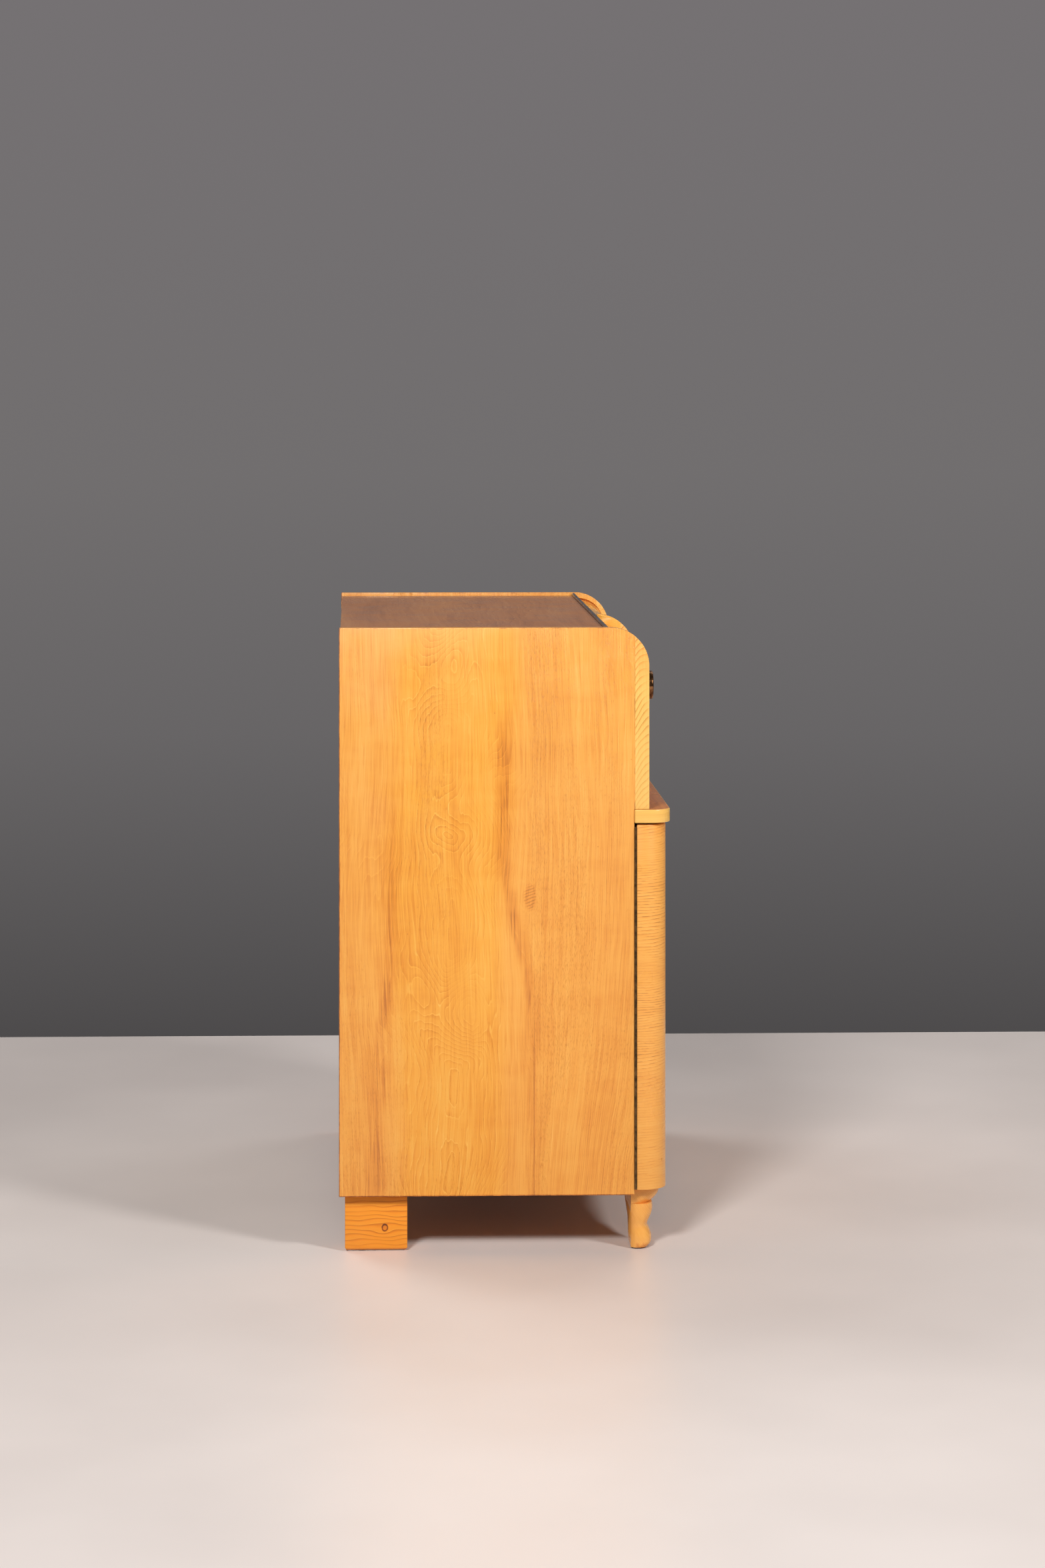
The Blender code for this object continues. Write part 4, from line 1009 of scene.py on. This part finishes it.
def drum_pull(name, node, body, material):
    """A waisted neck under a thick disc with a rounded rim and a low dome."""
    radius, reach, foot = pull_sizes(node)
    waist = [(15 * MM, 2 * MM), (11.5 * MM, 5 * MM), (12.5 * MM, 10 * MM), (radius - 3 * MM, 11.6 * MM)]
    neck = smooth_curve(waist, 5)
    rim = arc((radius - 1.2 * MM, 13.2 * MM), 1.2 * MM, -90, 0, 5)
    shoulder = arc((radius - 2.8 * MM, reach - 4.2 * MM), 2.8 * MM, 0, 78, 10)
    face = [shoulder[-1], (15 * MM, reach - 0.7 * MM), (7 * MM, reach - 0.1 * MM), (0, reach)]
    dome = smooth_curve(face, 5)
    profile = [(0, 0), (14.6 * MM, 0), (15 * MM, 0.4 * MM)] + neck + rim + shoulder + dome[1:]
    edit = bmesh.new()
    turn_profile(edit, profile, foot, 72)
    piece(name, edit, material, body, "pull_brass", node, crease=40)


def drawer_knob(node, body, material):
    radius, reach, foot = pull_sizes(node)
    points = [(0.58 * radius, 0.05 * reach), (0.42 * radius, 0.3 * reach), (0.9 * radius, 0.55 * reach)]
    points += [(radius, 0.72 * reach), (0.7 * radius, 0.94 * reach), (0, reach)]
    edit = bmesh.new()
    turn_profile(edit, [(0, 0), (0.6 * radius, 0)] + smooth_curve(points, 7), foot, 40)
    piece(node + "_turned", edit, material, body, "pull_brass", node, crease=50)


def wire_ring(edit, centre, radius, wire):
    """A ring of round wire, seen as a circle from the side."""
    section = arc((0, 0), wire, 0, 360, 12)[:-1]
    rings = []
    for index in range(40):
        angle = math.tau * index / 40
        outward = Vector((0, math.cos(angle), math.sin(angle)))
        middle = centre + outward * radius
        rings.append([edit.verts.new(middle + outward * a + Vector((b, 0, 0))) for a, b in section])
    join_rings(edit, rings + rings[:1])


def door_key(word, material):
    """A round stem with a collar, and a ring bow."""
    node = word + "_key"
    low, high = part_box(node)
    axis = Vector(JOINTS[word + "_key_turn"]["pos_m"])
    bow_radius = (high.z - low.z) / 2
    bow_reach = high.y - low.y - bow_radius
    wire, stem = 1.5 * MM, 2.3 * MM
    stem_end = bow_reach - bow_radius + 1.5 * wire
    collar = stem_end - 3 * MM
    profile = [(0, 0), (stem - 0.4 * MM, 0), (stem, 0.4 * MM), (stem, collar - 1.2 * MM)]
    profile += [(stem + 1 * MM, collar), (stem + 1 * MM, collar + 0.8 * MM), (stem, collar + 2 * MM)]
    profile += [(stem, stem_end), (0, stem_end)]
    edit = bmesh.new()
    turn_profile(edit, profile, (axis.x, high.y, axis.z), 24)
    wire_ring(edit, Vector((axis.x, high.y - bow_reach, axis.z)), bow_radius - wire, wire)
    piece(word + "_key_with_bow", edit, material, node, "key_steel", node)


def escutcheon(word, material):
    """An oval plate with a bevelled edge round the keyhole, held by two screws."""
    axis = Vector(JOINTS[word + "_key_turn"]["pos_m"])
    edit = bmesh.new()
    rings = []
    edge = [(7.0, 12.5, 0.0), (7.0, 12.5, 0.5), (6.3, 11.8, 0.9), (3.5, 3.5, 0.9), (3.3, 3.3, 0.0)]
    for half_width, half_height, rise in edge:
        ring = []
        for index in range(40):
            angle = math.tau * index / 40
            across, up = half_width * math.cos(angle), half_height * math.sin(angle)
            ring.append(edit.verts.new(axis + Vector((across, -rise, up)) * MM))
        rings.append(ring)
    join_rings(edit, rings + rings[:1])
    for z in (-9.2 * MM, 9.2 * MM):
        slotted_head(edit, axis + Vector((0, -0.9 * MM, z)), (0, -1, 0), (1, 0, 0), 1.1 * MM, 0.3 * MM)
    piece(word + "_escutcheon", edit, material, word + "_door", "pull_brass")


def lock_screws(word, material):
    low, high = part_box(word + "_lock_case")
    edit = bmesh.new()
    for x in (low.x + 6 * MM, high.x - 6 * MM):
        for z in (low.z + 6 * MM, high.z - 6 * MM):
            slotted_head(edit, (x, high.y, z), (0, 1, 0), (1, 0, 0), 2.6 * MM, 0.7 * MM)
    piece(word + "_lock_screws", edit, material, word + "_door", "lock_steel")


def shelf_pins(material):
    """Turned brass pins that the cupboard shelves rest on."""
    outline = [(0, 0), (2.6, 0), (2.6, 7), (2.1, 7.8), (0, 8)]
    profile = [(radius * MM, reach * MM) for radius, reach in outline]
    for word in ("left", "right"):
        low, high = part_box(word + "_cupboard_shelf")
        edit = bmesh.new()
        for x, inward in ((low.x, 1), (high.x, -1)):
            for y in (low.y + 60 * MM, high.y - 60 * MM):
                earlier = edit.verts[:]
                turn_profile(edit, profile, (0, 0, 0), 16)
                new = [vert for vert in edit.verts if vert not in earlier]
                turn = Matrix.Rotation(inward * math.pi / 2, 4, "Z")
                place = Matrix.Translation((x, y, low.z - 2.7 * MM))
                bmesh.ops.transform(edit, matrix=place @ turn, verts=new)
        piece(word + "_shelf_pins", edit, material, "case", "pull_brass")


# ---- Feet ----

# Height, front depth and width of each section, in millimetres
FOOT_SECTIONS = [
    (0, 545.4, 55),
    (6, 551.1, 63),
    (12, 554, 71),
    (20, 554.2, 76),
    (29, 551.4, 79),
    (37, 548, 84),
    (42, 547.4, 93),
    (49, 550, 121),
    (56, 553, 147),
    (63, 555.2, 165),
    (72, 556.3, 178),
    (79.7, 554.9, 186),
]


def foot_ring(side, outer, rear, height, front, width):
    """A section of a front foot: a full curve outside and in front, and a thin wing towards the middle."""
    leg = min(width, 76 * MM)
    half = leg / 2
    wing = max(width - leg, 1.5 * MM)
    wing_front = rear + 22 * MM
    start, fullness, steps = -38, 0.80, 22
    behind = math.sin(math.radians(-start)) ** fullness
    reach = (front - rear) / (1 + behind)
    outline = []
    for index in range(steps + 1):
        angle = math.radians(start + (155 - start) * index / steps)
        across = math.copysign(abs(math.cos(angle)) ** fullness, math.cos(angle))
        ahead = math.copysign(abs(math.sin(angle)) ** fullness, math.sin(angle))
        outline.append((half - half * across, front - reach + reach * ahead))
    outline += [(leg + wing * 0.4, wing_front), (leg + wing, wing_front - wing * 0.03), (leg + wing, rear)]
    ankle = 3.5 * MM * math.exp(-(((height - 40 * MM) / (13 * MM)) ** 2))
    heel = 3 * MM * math.exp(-height / (5 * MM))
    outer -= ankle + heel
    return [(side * (outer - x), depth_y(depth), height) for x, depth in outline]


def foot_cap(node, side, rear, material):
    """A front foot's cap, swelling upwards, cut lower behind its front where the side panel stands."""
    low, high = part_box(node)
    outer, inner = max(abs(low.x), abs(high.x)), min(abs(low.x), abs(high.x))
    front, shoulder = REAR_Y - low.y, high.z - 5 * MM
    corner, steps = 35 * MM, 12
    rings = []
    for share in [index / steps for index in range(steps + 1)] + [None]:
        height = high.z if share is None else low.z + (shoulder - low.z) * share
        bulge = 1 if share is None else math.sin(share * math.pi / 2)
        reach, edge = front - 15 * MM * (1 - bulge), outer - 4 * MM * (1 - bulge)
        rounded = arc((edge - corner, reach - corner), corner, 0, 90, 16)
        outline = [(inner, rear), (edge, rear), *rounded, (inner, reach)]
        rings.append([(side * x, depth_y(depth), height) for x, depth in outline])
    edit = bmesh.new()
    loft(edit, rings)
    cap = piece(node + "_moulding", edit, material, "case", "cap_beech", node, crease=45)
    base, back = SIDE[0].z - 0.3 * MM, rear - 10 * MM
    ahead, above = REAR_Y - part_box("desk_plate")[0].y + 0.6 * MM, base + 30 * MM
    span = sorted((side * (outer + 10 * MM), side * (inner - 10 * MM)))
    cutter = bmesh.new()
    extrude_side(cutter, [(back, base), (ahead, base), (ahead, above), (back, above)], span)
    carve(cap, cutter)


def front_feet(materials, glide_material):
    for word, side in (("left", -1), ("right", 1)):
        node = f"front_{word}_foot"
        low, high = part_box(node)
        outer = max(abs(low.x), abs(high.x))
        rear = REAR_Y - high.y
        sections = smooth_curve([(z * MM, front * MM, width * MM) for z, front, width in FOOT_SECTIONS], 4)
        edit = bmesh.new()
        loft(edit, [foot_ring(side, outer, rear, *row) for row in sections if row[0] >= GLIDE])
        piece(node + "_carved", edit, materials[node], "case", "foot_beech", node, crease=45)
        foot_cap(node + "_cap", side, rear, materials[node])
        levels = (0.0, GLIDE - 0.1 * MM)
        edit = bmesh.new()
        loft(edit, [foot_ring(side, outer - 3 * MM, rear + 2 * MM, z, 541 * MM, 46 * MM) for z in levels])
        piece(f"front_{word}_glide", edit, glide_material, "case", "lock_steel")


def inset_corners(box, inset):
    """The four corners of a box seen from above, moved inwards."""
    low, high = box
    left, right = low.x + inset, high.x - inset
    front, back = low.y + inset, high.y - inset
    return [(left, front), (right, front), (right, back), (left, back)]


def rear_feet(materials, glide_material):
    """Sawn blocks with chamfered bottom edges on dark glides."""
    chamfer = 3.5 * MM
    for word in ("left", "right"):
        node = f"rear_{word}_foot"
        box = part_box(node)
        rings = []
        for height, inset in ((GLIDE, chamfer), (GLIDE + chamfer, 0), (box[1].z, 0)):
            rings.append([(x, y, height) for x, y in inset_corners(box, inset)])
        edit = bmesh.new()
        loft(edit, rings)
        ease_edges(edit, 0.9 * MM, 2, 30)
        piece(node + "_block", edit, materials[node], "case", "foot_pine", node)
        outline = [(x, REAR_Y - y) for x, y in inset_corners(box, chamfer + 1.5 * MM)]
        edit = bmesh.new()
        extrude_plan(edit, outline, (0, GLIDE - 0.1 * MM))
        ease_edges(edit, 0.4 * MM)
        piece(f"rear_{word}_glide", edit, glide_material, "case", "lock_steel")


# ---- Placing ----


def dress(node_name, material, bevel=0.0):
    """Give a CAD node its finish and, on boards, softened edges."""
    node = frame["nodes"][node_name]
    node.data.materials.clear()
    node.data.materials.append(material)
    if bevel:
        weld = node.modifiers.new("Weld", "WELD")
        weld.merge_threshold = 0.00002
        rounding = node.modifiers.new("Bevel", "BEVEL")
        rounding.width = bevel
        rounding.segments = 2
        rounding.limit_method = "ANGLE"
        rounding.angle_limit = math.radians(50)


def room():
    """A grey wall seen over the far edge of the floor, a dimmer room, and floor colour far below."""
    world = bpy.data.worlds.new("room")
    bpy.context.scene.world = world
    world.use_nodes = True
    nodes = Nodes(world.node_tree)
    x, _, z = nodes.parts(nodes.node("TexCoord").outputs["Generated"])
    # Painted shade: the wall darkens towards its foot
    shade = nodes.ramp(nodes.span(z, WALL_FOOT, 0.10, smooth=False), WALL_SHADES)
    under_foot = nodes.span(z, WALL_FOOT - 0.04, WALL_FOOT - 0.02, 1.0, 0.0, smooth=False)
    # The wall behind the desk is lit, and the rest of the room is dimmer
    lit = nodes.span(x, 0.2, 0.8, AMBIENT, 1.0, smooth=False)
    background = world.node_tree.nodes["Background"]
    nodes.feed(background.inputs["Color"], nodes.mix(under_foot, shade, (0.50, 0.46, 0.44)))
    nodes.feed(background.inputs["Strength"], nodes.math("MAXIMUM", lit, under_foot))


def lay_floor():
    """A pale painted floor that ends about a metre past the desk's right side."""
    edit = bmesh.new()
    near, far, left, right = -11.0, FLOOR_FAR_X, -9.0, 9.0
    corners = [(near, left), (far, left), (far, right), (near, right)]
    edit.faces.new([edit.verts.new((x, y, 0)) for x, y in corners])
    floor = placed("floor", finished_mesh("floor", edit))
    graph = Graph("floor_paint")
    cloud = graph.noise(graph.scaled(1.3), 4.0)
    graph.set(Base_Color=graph.ramp(cloud, [(0.3, (0.77, 0.705, 0.675)), (0.7, (0.83, 0.765, 0.735))]))
    graph.set(Roughness=graph.span(cloud, 0.3, 0.7, 0.36, 0.46))
    floor.data.materials.append(graph.material)


def lamps():
    """Two soft lamps on the camera's side of the desk, and two weaker ones on the far side."""
    for name, place, aim, size, power, color in LAMPS:
        data = bpy.data.lights.new(name, "AREA")
        data.shape = "DISK"
        data.size = size
        data.energy = power
        data.color = color
        lamp = placed(name, data)
        lamp.location = place
        lamp.rotation_euler = (Vector(aim) - Vector(place)).to_track_quat("-Z", "Y").to_euler()


def camera():
    data = bpy.data.cameras.new("camera")
    data.lens = CAMERA_LENS
    data.shift_x, data.shift_y = CAMERA_SHIFT
    data.clip_end = 60
    made = placed("camera", data)
    made.location = (-SIDE_FACE - CAMERA_DISTANCE, depth_y(CAMERA_DEPTH), CAMERA_HEIGHT)
    made.rotation_euler = (math.pi / 2, 0, -math.pi / 2 - CAMERA_YAW)
    bpy.context.scene.camera = made
    bpy.context.scene.view_settings.view_transform = "Standard"


def wood_finishes():
    """A finish for each wooden node, by the node's name."""
    made = {}
    for index, name in enumerate(("left_side_panel", "right_side_panel")):
        made[name] = side_veneer(name + "_wood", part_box(name), 3.1 * index)
    made["upper_divider"] = wood("upper_divider_wood", "Z", HONEY, seed=7.3, heart=0.1)
    for index, name in enumerate(("left_side_lipping", "right_side_lipping", "upper_divider_lipping")):
        made[name] = lipping_wood(name + "_wood", 0.31 * index)
    made["top_board"] = wood("top_board_wood", "X_on_top", BROWN, seed=2.2, heart=0.05, wander=0.02,
                             pitch=0.014, rings=0.16, gloss=0.3)
    made["top_bead"] = wood("top_bead_wood", "X_on_top", EBONY, seed=4.2, rings=0.1, gloss=0.2)
    made["ledge"] = ledge_finish("ledge_wood", 5.2)
    for index, name in enumerate(("left_door", "middle_door", "right_door")):
        made[name] = door_veneer(name + "_wood", 1.3 + 2.9 * index)
    for index, side in enumerate(("left", "right")):
        rear, front = f"rear_{side}_foot", f"front_{side}_foot"
        made[rear] = knotted_pine(rear + "_wood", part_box(rear), 0.2 * index)
        made[front] = turned_beech(front + "_wood", 0.4 + index)
    for index, (name, (direction, palette)) in enumerate(PLAIN_BOARDS.items()):
        gloss = 0.14 if name in POLISHED else 0.34
        made[name] = wood(name + "_wood", direction, palette, seed=0.9 * index, heart=0.05 * (index % 5),
                          gloss=gloss)
    return made


def dress_all(materials, bronze, brass, steel):
    for name in frame["nodes"]:
        if "hinge" in name:
            dress(name, bronze)
        elif "pull" in name or "knob" in name:
            dress(name, brass)
        elif "lock" in name or "key" in name:
            dress(name, steel)
        elif name == "tambour_canvas":
            dress(name, canvas_cloth("canvas_cloth"))
        else:
            dress(name, materials[name.removesuffix("_cap")], 0.5 * MM)


lay_floor()
room()
lamps()
camera()
woods = wood_finishes()
bronze = metal("hinge_brass_metal", (0.21, 0.135, 0.06), (0.06, 0.040, 0.024), 0.28)
brass = metal("pull_brass_metal", (0.42, 0.20, 0.08), (0.12, 0.055, 0.025), 0.16)
steel = metal("lock_steel_metal", (0.42, 0.41, 0.39), (0.16, 0.14, 0.12), 0.34)
dress_all(woods, bronze, brass, steel)
uprights(woods)
ledge(woods["ledge"])
bead(woods["top_bead"])
bay_cover(woods["left_bay_cover"])
tambour(woods["tambour_front_slats"])
rounded_doors(woods)
hinges(bronze)
drum_pull("tambour_drum_pull", "tambour_pull", "tambour_rail", brass)
drum_pull("flap_drum_pull", "flap_pull", "flap", brass)
for side_word in ("left", "right"):
    drawer_knob(side_word + "_small_drawer_knob", side_word + "_drawer", brass)
    door_key(side_word, steel)
    escutcheon(side_word, brass)
    lock_screws(side_word, steel)
shelf_pins(brass)
front_feet(woods, steel)
rear_feet(woods, steel)
